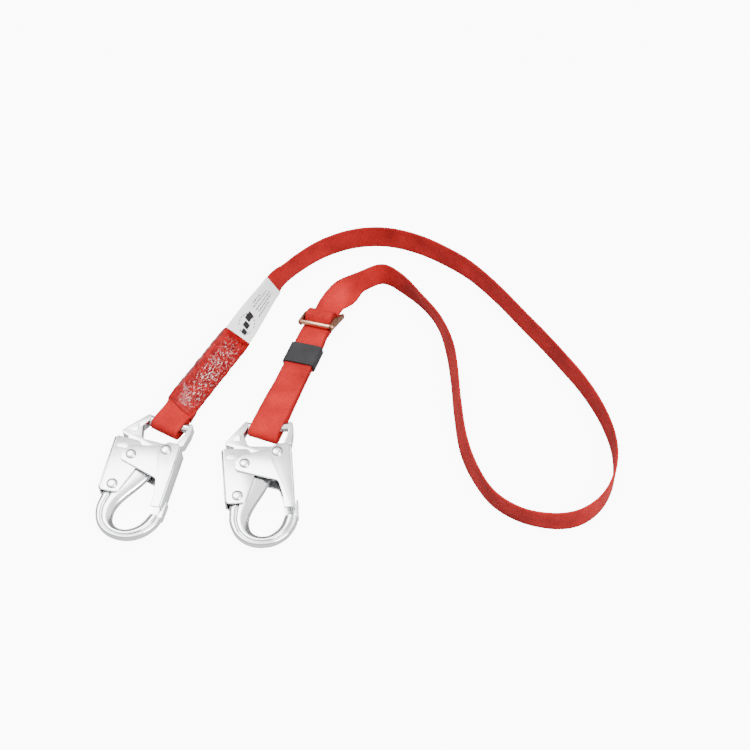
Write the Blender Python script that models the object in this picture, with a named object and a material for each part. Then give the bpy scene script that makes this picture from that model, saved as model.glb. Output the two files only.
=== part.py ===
"""Adjustable shock absorbing lanyard: a 30 mm polyester web strap with a folded tear pack, a slide
adjuster and two double locking snap hooks. It lies on a floor at Z = 0; +X is right, +Y is away."""

import math

import bmesh
import bpy
from mathutils import Matrix, Vector

MM = 0.001
GAP = 0.3 * MM  # between pieces that touch

# Webbing
WEB_WIDTH = 30.0 * MM
WEB_THICK = 2.4 * MM

# Snap hook, in its own frame: origin at the bowl's centre, +y to the eye, z = 0 at mid thickness
HOOK_HALF = 5.3 * MM  # half the forging's thickness
BAR_RADIUS = 4.5 * MM  # the eye's crossbar
EYE_REACH = 104.5 * MM  # bowl centre to crossbar axis
EYE_CLEARANCE = 3.2 * MM  # beside the strap, on the lever's side of the eye
EYE_EXTRA = 2.2 * MM  # more room than that on the gate's side
EYE_LEFT = -WEB_WIDTH / 2 - EYE_CLEARANCE
EYE_RIGHT = WEB_WIDTH / 2 + EYE_CLEARANCE + EYE_EXTRA
PLATE = 1.8 * MM  # sheet of the gate and the lock lever
LEVER_INSIDE = HOOK_HALF + GAP
GATE_INSIDE = LEVER_INSIDE + PLATE + GAP
GATE_PIVOT = (11.4 * MM, 70.2 * MM)
TAIL_PIN = (-18.9 * MM, 56.6 * MM)
LEVER_PIVOT = (-23.6 * MM, 22.0 * MM)
RIVET_RADIUS = 3.0 * MM
PIN_RADIUS = 2.4 * MM
HEAD_RADIUS = 5.3 * MM
HEAD_HEIGHT = 2.2 * MM
RIVET_CLEARANCE = 0.3 * MM
PIN_CLEARANCE = 0.6 * MM
GATE_OPEN = math.radians(25.0)
LEVER_RATIO = 0.3  # lever's turn for each turn of the gate
SEAT_HALF = 4.0 * MM  # half the flat seat at the bowl's bottom
SPRING_WIRE = 0.35 * MM

# Where the hooks lie: crossbar centre and turn about Z
HOOK_Z = GATE_INSIDE + PLATE + GAP + HEAD_HEIGHT
EYE_A = (-200.5 * MM, -69.5 * MM)
EYE_B = (-104.6 * MM, -72.9 * MM)
TURN_A = math.radians(-16.5)
TURN_B = 0.0

# Web loop round a crossbar: centreline radius, and how far past the bar its half turn is centred
LOOP_RADIUS = BAR_RADIUS + GAP + WEB_THICK / 2
LOOP_PAST_A = 4.0 * MM
LOOP_PAST_B = 7.5 * MM

# Shock pack and label, along a line that leaves hook a's eye
PACK_HEADING = math.radians(29.4)  # from +Y towards +X
PACK_START = 26.0 * MM  # crossbar to the wrap's near end
LABEL_HEADING = math.radians(25.5)
PACK_CLEARANCE = 0.6 * MM
WRAP_LENGTH = 100.0 * MM
WRAP_WALL = 0.6 * MM
TEAR_LAYERS = 3
TEAR_LENGTH = 66.0 * MM
LABEL_LENGTH = 71 * MM
LABEL_GAP = 3.0 * MM
LABEL_WALL = 0.6 * MM
PACK_ROLL = math.radians(50.0)
LABEL_ROLL = math.radians(74.0)
PACK_HEIGHT = 17.6 * MM  # centreline above the floor

# Strands between hook b and the adjuster
STRAND_HEADING = math.radians(20.0)
KEEPER_AT = 95 * MM
KEEPER_LENGTH = 25.0 * MM
KEEPER_WALL = 1.8 * MM
KEEPER_CLEARANCE = 0.4 * MM
STRAND_LEAN = math.radians(8.0)
ADJUSTER_LEAN = math.radians(12.0)
STRAND_LOW = 6.0 * MM
STRAND_HIGH = 11.4 * MM

# Adjuster
ADJUSTER_AT = 134 * MM
ADJUSTER_HEADING = math.radians(24.0)
FRONT_BAR_RADIUS = 2.8 * MM
CENTRE_BAR_RADIUS = 3.0 * MM
REAR_BAR_RADIUS = 2.0 * MM
LOOP_CLEARANCE = 0.6 * MM  # between the front bar and the strap over the centre bar
WEB_JOIN_AT = 162.1 * MM  # where the doubled strap runs on as the free strap
CHEEK_THICK = 3.2 * MM
CHEEK_CLEARANCE = 1.2 * MM
CENTRE_BAR_HEIGHT = 13.6 * MM

# Middle of the hooks, the pack and the adjuster on the floor, which becomes the origin.
LAYOUT_CENTRE = (-145.84 * MM, -49.28 * MM)
# Route of the free strap's centreline (x, y, height in millimetres), from inside the label round to the
# adjuster. It stands on its lower edge where its height is half its width.
LONG_WEB_ROUTE = (
    (-111.3, 97.7, 16.6), (-108.0, 104.5, 16.6), (-103.2, 113.5, 16.2), (-96.5, 122.5, 15.6),
    (-82.0, 138.5, 15.4), (-59.0, 157.5, 15.4), (-32.0, 171.0, 15.4), (-5.0, 176.5, 15.4),
    (21.0, 174.5, 15.4), (49.0, 164.5, 15.4), (77.0, 147.5, 15.4), (102.5, 126.5, 15.4),
    (129.0, 94.5, 15.4), (153.5, 59.0, 15.4), (172.0, 32.5, 15.4), (189.5, 5.5, 15.4),
    (206.5, -23.0, 15.4), (219.5, -52.0, 15.4), (227.5, -80.0, 15.4), (230.0, -105.0, 15.4),
    (226.5, -130.0, 15.4), (217.0, -152.0, 15.4), (202.5, -168.5, 15.4), (183.5, -178.5, 15.4),
    (160.5, -180.0, 15.4), (134.0, -173.0, 15.4), (110.5, -155.5, 15.4), (95.0, -128.0, 15.4),
    (85.0, -94.0, 15.4), (81.0, -50.0, 15.4), (79.5, -12.0, 15.4), (76.0, 22.0, 15.4),
    (66.5, 56.0, 15.4), (50.0, 84.0, 15.4), (28.0, 110.0, 15.4), (9.0, 122.6, 15.4),
    (-10.5, 114.5, 15.4), (-24.0, 103.0, 15.4), (-33.6, 96.0, 14.2), (-40.8, 90.2, 12.0),
    (-45.6, 84.5, 10.3), (-47.8, 79.9, 9.7),
)
# Turn of the strap about its own run, in degrees, at shares of its length: 0 is flat with its first edge
# on the left of the run, 90 stands on edge and 180 is flat the other way up.
LONG_WEB_TURN = ((0.0, 73.4), (0.0075, 74.0), (0.03, 90.0), (0.55, 92.0), (0.62, 84.0), (0.72, 98.0),
                 (0.8, 98.0), (0.875, 80.0), (0.915, 90.0), (0.95, 96.0), (1.0, 192.0))


def clear_scene():
    for old in list(bpy.data.objects):
        bpy.data.objects.remove(old, do_unlink=True)


def material(name, colour, roughness, metallic=0.0):
    made = bpy.data.materials.new(name)
    made.use_nodes = True
    surface = made.node_tree.nodes["Principled BSDF"]
    surface.inputs["Base Color"].default_value = (*colour, 1.0)
    surface.inputs["Roughness"].default_value = roughness
    surface.inputs["Metallic"].default_value = metallic
    return made


def add_object(name, mesh, finish, parent=None, location=(0.0, 0.0, 0.0)):
    made = bpy.data.objects.new(name, mesh)
    bpy.context.scene.collection.objects.link(made)
    mesh.materials.append(finish)
    made.parent = parent
    made.location = location
    return made


def add_empty(name, location, turn=0.0, parent=None):
    made = bpy.data.objects.new(name, None)
    bpy.context.scene.collection.objects.link(made)
    made.location = location
    made.rotation_euler = (0.0, 0.0, turn)
    made.parent = parent
    return made


def mesh_of(name, points, faces, smooth=False):
    mesh = bpy.data.meshes.new(name)
    mesh.from_pydata([tuple(point) for point in points], [], faces)
    shape = bmesh.new()
    shape.from_mesh(mesh)
    bmesh.ops.recalc_face_normals(shape, faces=shape.faces)
    shape.to_mesh(mesh)
    shape.free()
    if smooth:
        mesh.shade_smooth()
        mesh.set_sharp_from_angle(angle=math.radians(40.0))
    return mesh


def rounded(corners, steps=4):
    """Outline through (x, y, radius) corners, each corner turned into an arc of its radius."""
    outline = []
    count = len(corners)
    for i, (x, y, radius) in enumerate(corners):
        here = Vector((x, y))
        if radius == 0.0:
            outline.append(here)
            continue
        before = (Vector(corners[i - 1][:2]) - here).normalized()
        after = (Vector(corners[(i + 1) % count][:2]) - here).normalized()
        half = before.angle(after) / 2
        middle = here + (before + after).normalized() * (radius / math.sin(half))
        first = here + before * (radius / math.tan(half)) - middle
        turn = first.angle_signed(here + after * (radius / math.tan(half)) - middle)
        for k in range(steps + 1):
            angle = -turn * k / steps
            outline.append(middle + Matrix.Rotation(angle, 2) @ first)
    return outline


def smooth_curve(points, per_span):
    """Catmull-Rom curve through the points, with per_span steps from each to the next."""
    points = [Vector(point) for point in points]
    padded = [2 * points[0] - points[1], *points, 2 * points[-1] - points[-2]]
    curve = []
    for a, b, c, d in zip(padded, padded[1:], padded[2:], padded[3:]):
        for k in range(per_span):
            t = k / per_span
            bend = (2 * a - 5 * b + 4 * c - d) * t + (3 * b - a - 3 * c + d) * t * t
            curve.append(b + ((c - a) + bend) * (t / 2))
    curve.append(points[-1])
    return curve


def arc(centre, radius, start, end, steps):
    """Points from one angle to another, in degrees."""
    turned = (math.radians(start + (end - start) * k / steps) for k in range(steps + 1))
    return [Vector((centre[0] + radius * math.cos(a), centre[1] + radius * math.sin(a))) for a in turned]


def ease(table, at):
    """Value at a place in a table of (place, value), eased from each row to the next."""
    for (low, first), (high, second) in zip(table, table[1:]):
        if at <= high:
            share = max(0.0, (at - low) / (high - low))
            return first + (second - first) * share * share * (3 - 2 * share)
    return table[-1][1]


def prism(name, outline, low, high, smooth=False):
    """Flat outline in x and y, raised from low to high."""
    count = len(outline)
    points = [(p[0], p[1], z) for z in (low, high) for p in outline]
    sides = [(i, (i + 1) % count, count + (i + 1) % count, count + i) for i in range(count)]
    faces = [tuple(range(count)), tuple(range(count, 2 * count)), *sides]
    return mesh_of(name, points, faces, smooth)


def loft(name, rings, closed=False, smooth=True):
    """Skin over rings of equally many points, capped at both ends or joined last to first."""
    count = len(rings[0])
    points = [point for ring in rings for point in ring]
    faces = []
    for i in range(len(rings) - (0 if closed else 1)):
        here, there = i * count, (i + 1) % len(rings) * count
        for k in range(count):
            m = (k + 1) % count
            faces.append((here + k, here + m, there + m, there + k))
    if not closed:
        faces.append(tuple(range(count)))
        faces.append(tuple(range(len(points) - count, len(points))))
    return mesh_of(name, points, faces, smooth)


def turned(name, profile, sides=16):
    """Body of revolution about z from (radius, z) points that start and end on the axis."""
    rings = []
    for radius, z in profile[1:-1]:
        angles = (2 * math.pi * k / sides for k in range(sides))
        rings.append([(radius * math.cos(a), radius * math.sin(a), z) for a in angles])
    return loft(name, rings)


def rod(name, start, end, radius, sides=16):
    start, end = Vector(start), Vector(end)
    along = (end - start).normalized()
    across = along.orthogonal().normalized()
    rings = []
    for middle in (start, end):
        spokes = (Matrix.Rotation(2 * math.pi * k / sides, 3, along) @ across for k in range(sides))
        rings.append([middle + spoke * radius for spoke in spokes])
    return loft(name, rings)


def wire(name, path, radius, sides=6):
    """Round wire along a path."""
    rings = []
    across = (path[1] - path[0]).orthogonal().normalized()
    for i, point in enumerate(path):
        along = (path[min(i + 1, len(path) - 1)] - path[max(i - 1, 0)]).normalized()
        across = (across - along * across.dot(along)).normalized()
        other = along.cross(across)
        angles = (2 * math.pi * k / sides for k in range(sides))
        rings.append([point + (across * math.cos(a) + other * math.sin(a)) * radius for a in angles])
    return loft(name, rings)


def strap(name, stations, finish, width=WEB_WIDTH, thick=WEB_THICK):
    """Flat strap through (centre, direction of its width) stations."""
    rings = []
    for i, (middle, across) in enumerate(stations):
        along = stations[min(i + 1, len(stations) - 1)][0] - stations[max(i - 1, 0)][0]
        across = (across - along * (across.dot(along) / along.length_squared)).normalized()
        face = along.cross(across).normalized()
        half, deep = across * (width / 2), face * (thick / 2)
        rings.append([middle + half + deep, middle - half + deep, middle - half - deep,
                      middle + half - deep])
    return add_object(name, loft(name, rings, smooth=False), finish)


def sleeve(name, stations, wall, finish):
    """Open ended flat tube: stations are (centre, width direction, face direction, half width, half
    thickness) of its inside."""
    def ring(station, grow):
        middle, across, face, half_width, half_thick = station
        wide, deep = half_width + grow, half_thick + grow
        corner = min(deep, 1.2 * MM)
        corners = [(wide, deep), (-wide, deep), (-wide, -deep), (wide, -deep)]
        outline = rounded([(x, y, corner * 0.9) for x, y in corners], 2)
        return [middle + across * p[0] + face * p[1] for p in outline]

    rings = [ring(station, wall) for station in stations]
    rings += [ring(station, 0.0) for station in reversed(stations)]
    return add_object(name, loft(name, rings, closed=True), finish)


def cut(target, name, mesh, operation="DIFFERENCE"):
    """Cuts or joins a hidden shape that stands in the target's own frame."""
    tool = bpy.data.objects.new(name, mesh)
    bpy.context.scene.collection.objects.link(tool)
    tool.parent = target.parent
    tool.location = target.location
    tool.hide_render = True
    tool.display_type = "WIRE"
    modifier = target.modifiers.new(name, "BOOLEAN")
    modifier.operation = operation
    modifier.object = tool


def soften(target, width, segments=1):
    modifier = target.modifiers.new("Edges", "BEVEL")
    modifier.width = width
    modifier.segments = segments
    modifier.limit_method = "ANGLE"
    modifier.angle_limit = math.radians(50.0)


def turn_about(point, pivot, angle):
    return Matrix.Rotation(angle, 2) @ (Vector(point) - Vector(pivot)) + Vector(pivot)


def slot_along(path, radius):
    """Outline of a round cutter's sweep along a path."""
    sides = ([], [])
    for i, point in enumerate(path):
        along = (path[min(i + 1, len(path) - 1)] - path[max(i - 1, 0)]).normalized()
        left = Vector((-along.y, along.x)) * radius
        sides[0].append(point + left)
        sides[1].append(point - left)
    first, last = path[1] - path[0], path[-1] - path[-2]
    start = math.degrees(math.atan2(first.y, first.x))
    end = math.degrees(math.atan2(last.y, last.x))
    caps = (arc(path[-1], radius, end - 90, end + 90, 8)[1:-1], arc(path[0], radius, start + 90,
                                                                    start + 270, 8)[1:-1])
    return sides[1] + caps[0] + sides[0][::-1] + caps[1]


def mm(points):
    """Millimetre points in metres."""
    return [tuple(value * MM for value in point) for point in points]


# --- Snap hook ---------------------------------------------------------------------------------------


def hook_outline():
    """Forging's outline: bowl, nose, spine and the eye's two posts, which the crossbar joins."""
    outer = smooth_curve(mm([(33.8, 1.0), (29.5, -11.5), (21.5, -20.8), (11.5, -26.6), (0.0, -28.3),
                             (-11.5, -26.3), (-21.5, -19.5), (-28.3, -9.0), (-30.9, 3.0),
                             (-30.8, 15.0)]), 3)
    left, right = EYE_LEFT / MM, EYE_RIGHT / MM
    eye = rounded(mm([(-30.8, 77.5, 0.0), (left - 20.1, 80.0, 1.2), (left - 21.4, 83.0, 1.5),
                      (left - 3.3, 107.8, 3.0), (left, 107.8, 0.6), (left - 0.2, 101.5, 2.0),
                      (left - 4.1, 93.0, 4.0), (left + 0.7, 79.0, 5.0), (right - 4.9, 79.0, 6.0),
                      (right - 0.2, 94.0, 4.0), (right, 107.8, 0.6), (right + 4.6, 107.8, 3.5),
                      (right + 5.2, 96.0, 3.0), (right + 4.0, 82.5, 1.5), (right - 0.8, 78.4, 0.0)]), 3)
    boss = arc(GATE_PIVOT, 8.9 * MM, 35.0, -60.0, 5)
    inner = smooth_curve(mm([(9.5, 52.0), (5.5, 40.0), (2.0, 31.5), (-4.0, 20.5), (-9.3, 9.0),
                             (-11.8, -3.0), (-9.8, -12.0)]), 3)
    seat = [Vector((-SEAT_HALF, -18.2 * MM)), Vector((SEAT_HALF, -18.2 * MM))]
    rise = smooth_curve(mm([(11.0, -14.8), (16.8, -8.0), (20.0, 0.5)]), 3)
    nose = rounded(mm([(20.8, 3.2, 0.8), (29.4, 3.6, 1.0), (31.0, 19.0, 0.4), (33.0, 19.2, 0.4)]), 2)
    return outer + eye + boss + inner + seat + rise + nose


def pin_path(in_lever):
    """Centre of the tail pin as the gate opens, in the forging or as the turning lever sees it."""
    path = []
    for k in range(7):
        opened = GATE_OPEN * k / 6
        place = turn_about(TAIL_PIN, GATE_PIVOT, -opened)
        path.append(turn_about(place, LEVER_PIVOT, opened * LEVER_RATIO) if in_lever else place)
    return path


def rivet_profile(shank, head, under):
    """Half profile of a rivet with a domed head past each end of a stack of half thickness under."""
    top = under + HEAD_HEIGHT
    dome = [(head, under), (head, under + 0.4 * MM), (head * 0.86, under + 1.3 * MM),
            (head * 0.52, top - 0.15 * MM), (head * 0.2, top)]
    upper = [(shank, under), *dome, (0.0, top)]
    return [(0.0, -top)] + [(r, -z) for r, z in upper[-2::-1]] + upper


def moved(points, by):
    return [Vector((p[0] - by[0], p[1] - by[1])) for p in points]


def snap_hook(suffix, eye, turn, finishes):
    """One hook: its empty stands on the crossbar's axis, the joint it swings on."""
    steel, spring = finishes
    hinge = add_empty("hook_hinge_" + suffix, (eye[0], eye[1], HOOK_Z), turn)
    home = Vector((0.0, -EYE_REACH, 0.0))

    def at(point):
        return home + Vector((point[0], point[1], 0.0))

    def round_cutter(name, point, radius, about=(0.0, 0.0)):
        reach = 2 * GATE_INSIDE
        x, y = point[0] - about[0], point[1] - about[1]
        return rod(name, (x, y, -reach), (x, y, reach), radius)

    body = add_object("hook_body_" + suffix, prism("hook_body", hook_outline(), -HOOK_HALF, HOOK_HALF,
                                                   True), steel, hinge, home)
    soften(body, 1.4 * MM)
    bar = rod("crossbar", (EYE_LEFT - 1.6 * MM, EYE_REACH, 0.0), (EYE_RIGHT + 1.6 * MM, EYE_REACH, 0.0),
              BAR_RADIUS)
    cut(body, "crossbar_" + suffix, bar, "UNION")
    hole = RIVET_RADIUS + RIVET_CLEARANCE
    cut(body, "pivot_hole_" + suffix, round_cutter("hole", GATE_PIVOT, hole))
    cut(body, "lever_hole_" + suffix, round_cutter("hole", LEVER_PIVOT, hole))
    slot = prism("slot", slot_along(pin_path(False), PIN_RADIUS + PIN_CLEARANCE), -2 * HOOK_HALF,
                 2 * HOOK_HALF)
    cut(body, "pin_slot_" + suffix, slot)
    pocket = rod("pocket", (-40 * MM, 40 * MM, 0.0), (-24.5 * MM, 40 * MM, 0.0), 2.9 * MM, 12)
    cut(body, "spring_pocket_" + suffix, pocket)

    outer = GATE_INSIDE + PLATE
    gate_outline = rounded(mm([(22.5, 80.0, 3.0), (28.9, 9.2, 1.0), (20.4, 8.4, 1.5), (18.8, 22.0, 8.0),
                               (13.8, 38.0, 5.0), (-10.4, 44.6, 8.0), (-27.6, 49.4, 4.5),
                               (-28.4, 60.0, 6.0), (-22.0, 66.6, 5.0), (4.0, 73.5, 8.0),
                               (11.0, 79.8, 4.0)]))
    gate = add_object("gate_" + suffix, prism("gate", moved(gate_outline, GATE_PIVOT), -outer, outer),
                      steel, hinge, at(GATE_PIVOT))
    wall_line = mm([(20.7, 90.0), (28.1, 0.0)])
    room = prism("room", moved([(-60 * MM, 0.0), wall_line[1], wall_line[0], (-60 * MM, 90 * MM)],
                               GATE_PIVOT), -GATE_INSIDE, GATE_INSIDE)
    cut(gate, "gate_room_" + suffix, room)
    cut(gate, "gate_hole_" + suffix, round_cutter("hole", GATE_PIVOT, hole, GATE_PIVOT))
    tight = PIN_RADIUS + GAP
    cut(gate, "tail_hole_" + suffix, round_cutter("hole", TAIL_PIN, tight, GATE_PIVOT))

    outer = LEVER_INSIDE + PLATE
    lever_outline = rounded(mm([(-41.0, 74.6, 2.0), (-33.2, 13.4, 3.0), (-15.6, 14.8, 5.0),
                                (-9.0, 44.0, 4.0), (-10.0, 62.0, 5.0), (-16.0, 74.6, 6.0)]))
    lever = add_object("lock_lever_" + suffix, prism("lever", moved(lever_outline, LEVER_PIVOT), -outer,
                                                     outer), steel, hinge, at(LEVER_PIVOT))
    room_outline = mm([(-31.4, 13.4), (-30.0, 0.0), (20.0, 0.0), (20.0, 90.0), (-60.0, 90.0),
                       (-60.0, 74.0), (-38.9, 74.0)])
    room = prism("room", moved(room_outline, LEVER_PIVOT), -LEVER_INSIDE, LEVER_INSIDE)
    cut(lever, "lever_room_" + suffix, room)
    cut(lever, "lever_pivot_hole_" + suffix, round_cutter("hole", LEVER_PIVOT, hole, LEVER_PIVOT))
    slot = slot_along(pin_path(True), PIN_RADIUS + PIN_CLEARANCE)
    slot = prism("slot", moved(slot, LEVER_PIVOT), -2 * outer, 2 * outer)
    cut(lever, "lever_slot_" + suffix, slot)

    stack = GATE_INSIDE + PLATE + GAP
    profile = rivet_profile(RIVET_RADIUS, HEAD_RADIUS, stack)
    add_object("gate_rivet_" + suffix, turned("gate_rivet", profile), steel, hinge, at(GATE_PIVOT))
    profile = rivet_profile(PIN_RADIUS, HEAD_RADIUS - 0.3 * MM, stack)
    add_object("tail_pin_" + suffix, turned("tail_pin", profile), steel, hinge, at(TAIL_PIN))
    profile = rivet_profile(RIVET_RADIUS, HEAD_RADIUS, LEVER_INSIDE + PLATE + GAP)
    add_object("lever_rivet_" + suffix, turned("lever_rivet", profile), steel, hinge, at(LEVER_PIVOT))

    coil_radius = RIVET_RADIUS + RIVET_CLEARANCE + 1.6 * MM
    low = -GATE_INSIDE + GAP + SPRING_WIRE
    pitch = 0.8 * MM
    path = [Vector((coil_radius, -8.4 * MM, low))]
    for k in range(17):
        angle = 2 * math.pi * k / 12
        path.append(Vector((coil_radius * math.cos(angle), coil_radius * math.sin(angle),
                            low + pitch * k / 12)))
    path.append(path[-1] + Vector((-5.0 * MM, -2.0 * MM, 0.0)))
    add_object("gate_spring_" + suffix, wire("gate_spring", path, SPRING_WIRE), spring, hinge,
               at(GATE_PIVOT))
    start, end = -33.9 * MM, -25.1 * MM
    path = []
    for k in range(61):
        angle = 2 * math.pi * k / 10
        path.append(Vector((start + (end - start) * k / 60, 2.1 * MM * math.cos(angle),
                            2.1 * MM * math.sin(angle))))
    add_object("lever_spring_" + suffix, wire("lever_spring", path, SPRING_WIRE), spring, hinge,
               at((0.0, 40 * MM)))


# --- Webbing -----------------------------------------------------------------------------------------


def heading_vectors(heading):
    """Along and to the left of a heading measured from +Y towards +X."""
    along = Vector((math.sin(heading), math.cos(heading), 0.0))
    return along, Vector((-along.y, along.x, 0.0))


UP = Vector((0.0, 0.0, 1.0))


def pack_frame(s):
    """Centre, width and face directions of the run from hook a's crossbar to the label's far end."""
    along, left = heading_vectors(PACK_HEADING)
    wrap_end = PACK_START + WRAP_LENGTH
    roll = ease(((9 * MM, 0.0), (PACK_START + 12 * MM, PACK_ROLL), (wrap_end, PACK_ROLL),
                 (wrap_end + LABEL_LENGTH, LABEL_ROLL)), s)
    height = ease(((4 * MM, HOOK_Z), (PACK_START + 8 * MM, PACK_HEIGHT), (wrap_end, PACK_HEIGHT),
                   (wrap_end + LABEL_LENGTH, 16.7 * MM)), s)
    middle = Vector((*EYE_A, height)) + along * min(s, wrap_end)
    if s > wrap_end:
        along, left = heading_vectors(LABEL_HEADING)
        middle += along * (s - wrap_end)
    return middle, left * math.cos(roll) + UP * math.sin(roll), UP * math.cos(roll) - left * math.sin(roll)


def hook_loop(finish):
    """Web loop round hook a's crossbar, both legs run into the wrap."""
    leg_end = PACK_START + 12 * MM
    together = WEB_THICK / 2 + GAP / 2
    stations = []

    def apart(s):
        return ease(((2 * MM, LOOP_RADIUS), (PACK_START - 2 * MM, together), (leg_end, together)), s)

    steps = 18
    for side in (1, -1):
        leg = []
        for k in range(steps + 1):
            s = leg_end + (-LOOP_PAST_A - leg_end) * k / steps
            middle, across, face = pack_frame(s)
            leg.append((middle + face * (apart(s) * side), across * side))
        stations.append(leg if side > 0 else leg[::-1])
    middle, across, face = pack_frame(-LOOP_PAST_A)
    along, _ = heading_vectors(PACK_HEADING)
    turn = []
    for k in range(1, 8):
        angle = math.pi * k / 8
        turn.append((middle + face * (LOOP_RADIUS * math.cos(angle)) - along * (LOOP_RADIUS * math.sin(angle)),
                     across))
    lower = [(place, -wide) for place, wide in stations[1]]
    return strap("hook_loop_a", stations[0] + turn + lower, finish)


def tear_webbing(finish):
    """Energy absorbing web folded into layers, end to end inside the wrap."""
    start = PACK_START + (WRAP_LENGTH - TEAR_LENGTH) / 2
    pitch = WEB_THICK + GAP
    stations = []
    for layer in range(TEAR_LAYERS):
        height = (layer - (TEAR_LAYERS - 1) / 2) * pitch
        ends = (start, start + TEAR_LENGTH) if layer % 2 == 0 else (start + TEAR_LENGTH, start)
        for k in range(3):
            s = ends[0] + (ends[1] - ends[0]) * k / 2
            middle, across, face = pack_frame(s)
            stations.append((middle + face * height, across))
        if layer == TEAR_LAYERS - 1:
            break
        middle, across, face = pack_frame(ends[1])
        along, _ = heading_vectors(PACK_HEADING)
        out = along if layer % 2 == 0 else -along
        for k in range(1, 4):
            angle = math.pi * k / 4
            rise = face * (height + pitch / 2 - pitch / 2 * math.cos(angle))
            stations.append((middle + rise + out * (pitch / 2 * math.sin(angle)), across))
    return strap("tear_webbing", stations, finish)


def wrap_stations():
    """Inside of the shrink wrap: thick over the folded web, thin where the straps enter."""
    half_layers = (TEAR_LAYERS * WEB_THICK + (TEAR_LAYERS - 1) * GAP) / 2 + PACK_CLEARANCE
    near = WEB_THICK + GAP / 2 + PACK_CLEARANCE + 0.3 * MM
    far = WEB_THICK / 2 + PACK_CLEARANCE
    end = PACK_START + WRAP_LENGTH
    margin = (WRAP_LENGTH - TEAR_LENGTH) / 2
    table = ((PACK_START, near), (PACK_START + margin - 3 * MM, half_layers),
             (end - margin + 3 * MM, half_layers), (end, far))
    stations = []
    for k in range(21):
        s = PACK_START + WRAP_LENGTH * k / 20
        stations.append((*pack_frame(s), WEB_WIDTH / 2 + PACK_CLEARANCE, ease(table, s)))
    return stations


def pack_web(finish):
    start = PACK_START + WRAP_LENGTH - 12 * MM
    end = PACK_START + WRAP_LENGTH + LABEL_LENGTH - 8 * MM
    stations = []
    for k in range(9):
        middle, across, _ = pack_frame(start + (end - start) * k / 8)
        stations.append((middle, across))
    return strap("pack_web", stations, finish)


def label_stations():
    start = PACK_START + WRAP_LENGTH + LABEL_GAP
    stations = []
    for k in range(25):
        s = start + (LABEL_LENGTH - LABEL_GAP) * k / 24
        stations.append((*pack_frame(s), WEB_WIDTH / 2 + PACK_CLEARANCE, WEB_THICK / 2 + PACK_CLEARANCE))
    return stations


def long_web(finish):
    """Free strap: stands on its lower edge round a wide arc and lies down into the adjuster."""
    curve = smooth_curve(mm(LONG_WEB_ROUTE), 3)
    run = [0.0]
    for a, b in zip(curve, curve[1:]):
        run.append(run[-1] + (b - a).length)
    stations = []
    for i, middle in enumerate(curve):
        along = curve[min(i + 1, len(curve) - 1)] - curve[max(i - 1, 0)]
        left = Vector((-along.y, along.x, 0.0)).normalized()
        roll = math.radians(ease(LONG_WEB_TURN, run[i] / run[-1]))
        stations.append((middle, left * math.cos(roll) + UP * math.sin(roll)))
    return strap("long_web", stations, finish)


BEND_START = 113 * MM
BEND_END = 126 * MM


def strand_frame(s):
    """Place on the floor, width and face directions of the strands, at a distance from hook b's
    crossbar."""
    share = min(max((s - BEND_START) / (BEND_END - BEND_START), 0.0), 1.0)
    heading = STRAND_HEADING + (ADJUSTER_HEADING - STRAND_HEADING) * share
    place = Vector((*EYE_B, 0.0)) + heading_vectors(STRAND_HEADING)[0] * min(s, BEND_START)
    place += heading_vectors((STRAND_HEADING + heading) / 2)[0] * ((BEND_END - BEND_START) * share)
    place += heading_vectors(ADJUSTER_HEADING)[0] * max(s - BEND_END, 0.0)
    _, left = heading_vectors(heading)
    lean = ease(((12 * MM, 0.0), (75 * MM, STRAND_LEAN), (BEND_START, STRAND_LEAN),
                 (BEND_END, ADJUSTER_LEAN)), s)
    return place, left * math.cos(lean) - UP * math.sin(lean), UP * math.cos(lean) + left * math.sin(lean)


FRONT_BAR_HEIGHT = STRAND_HIGH + WEB_THICK / 2 + GAP + FRONT_BAR_RADIUS
SEWN_RADIUS = CENTRE_BAR_RADIUS + GAP + WEB_THICK / 2
OVER_RADIUS = SEWN_RADIUS + WEB_THICK + GAP
BAR_PITCH = OVER_RADIUS + WEB_THICK / 2 + FRONT_BAR_RADIUS + LOOP_CLEARANCE
CENTRE_BAR_AT = ADJUSTER_AT + BAR_PITCH
REAR_BAR_AT = CENTRE_BAR_AT + BAR_PITCH
LEAVE_HEIGHT = 9.9 * MM
REAR_BAR_HEIGHT = LEAVE_HEIGHT - WEB_THICK / 2 - GAP - REAR_BAR_RADIUS


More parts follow.
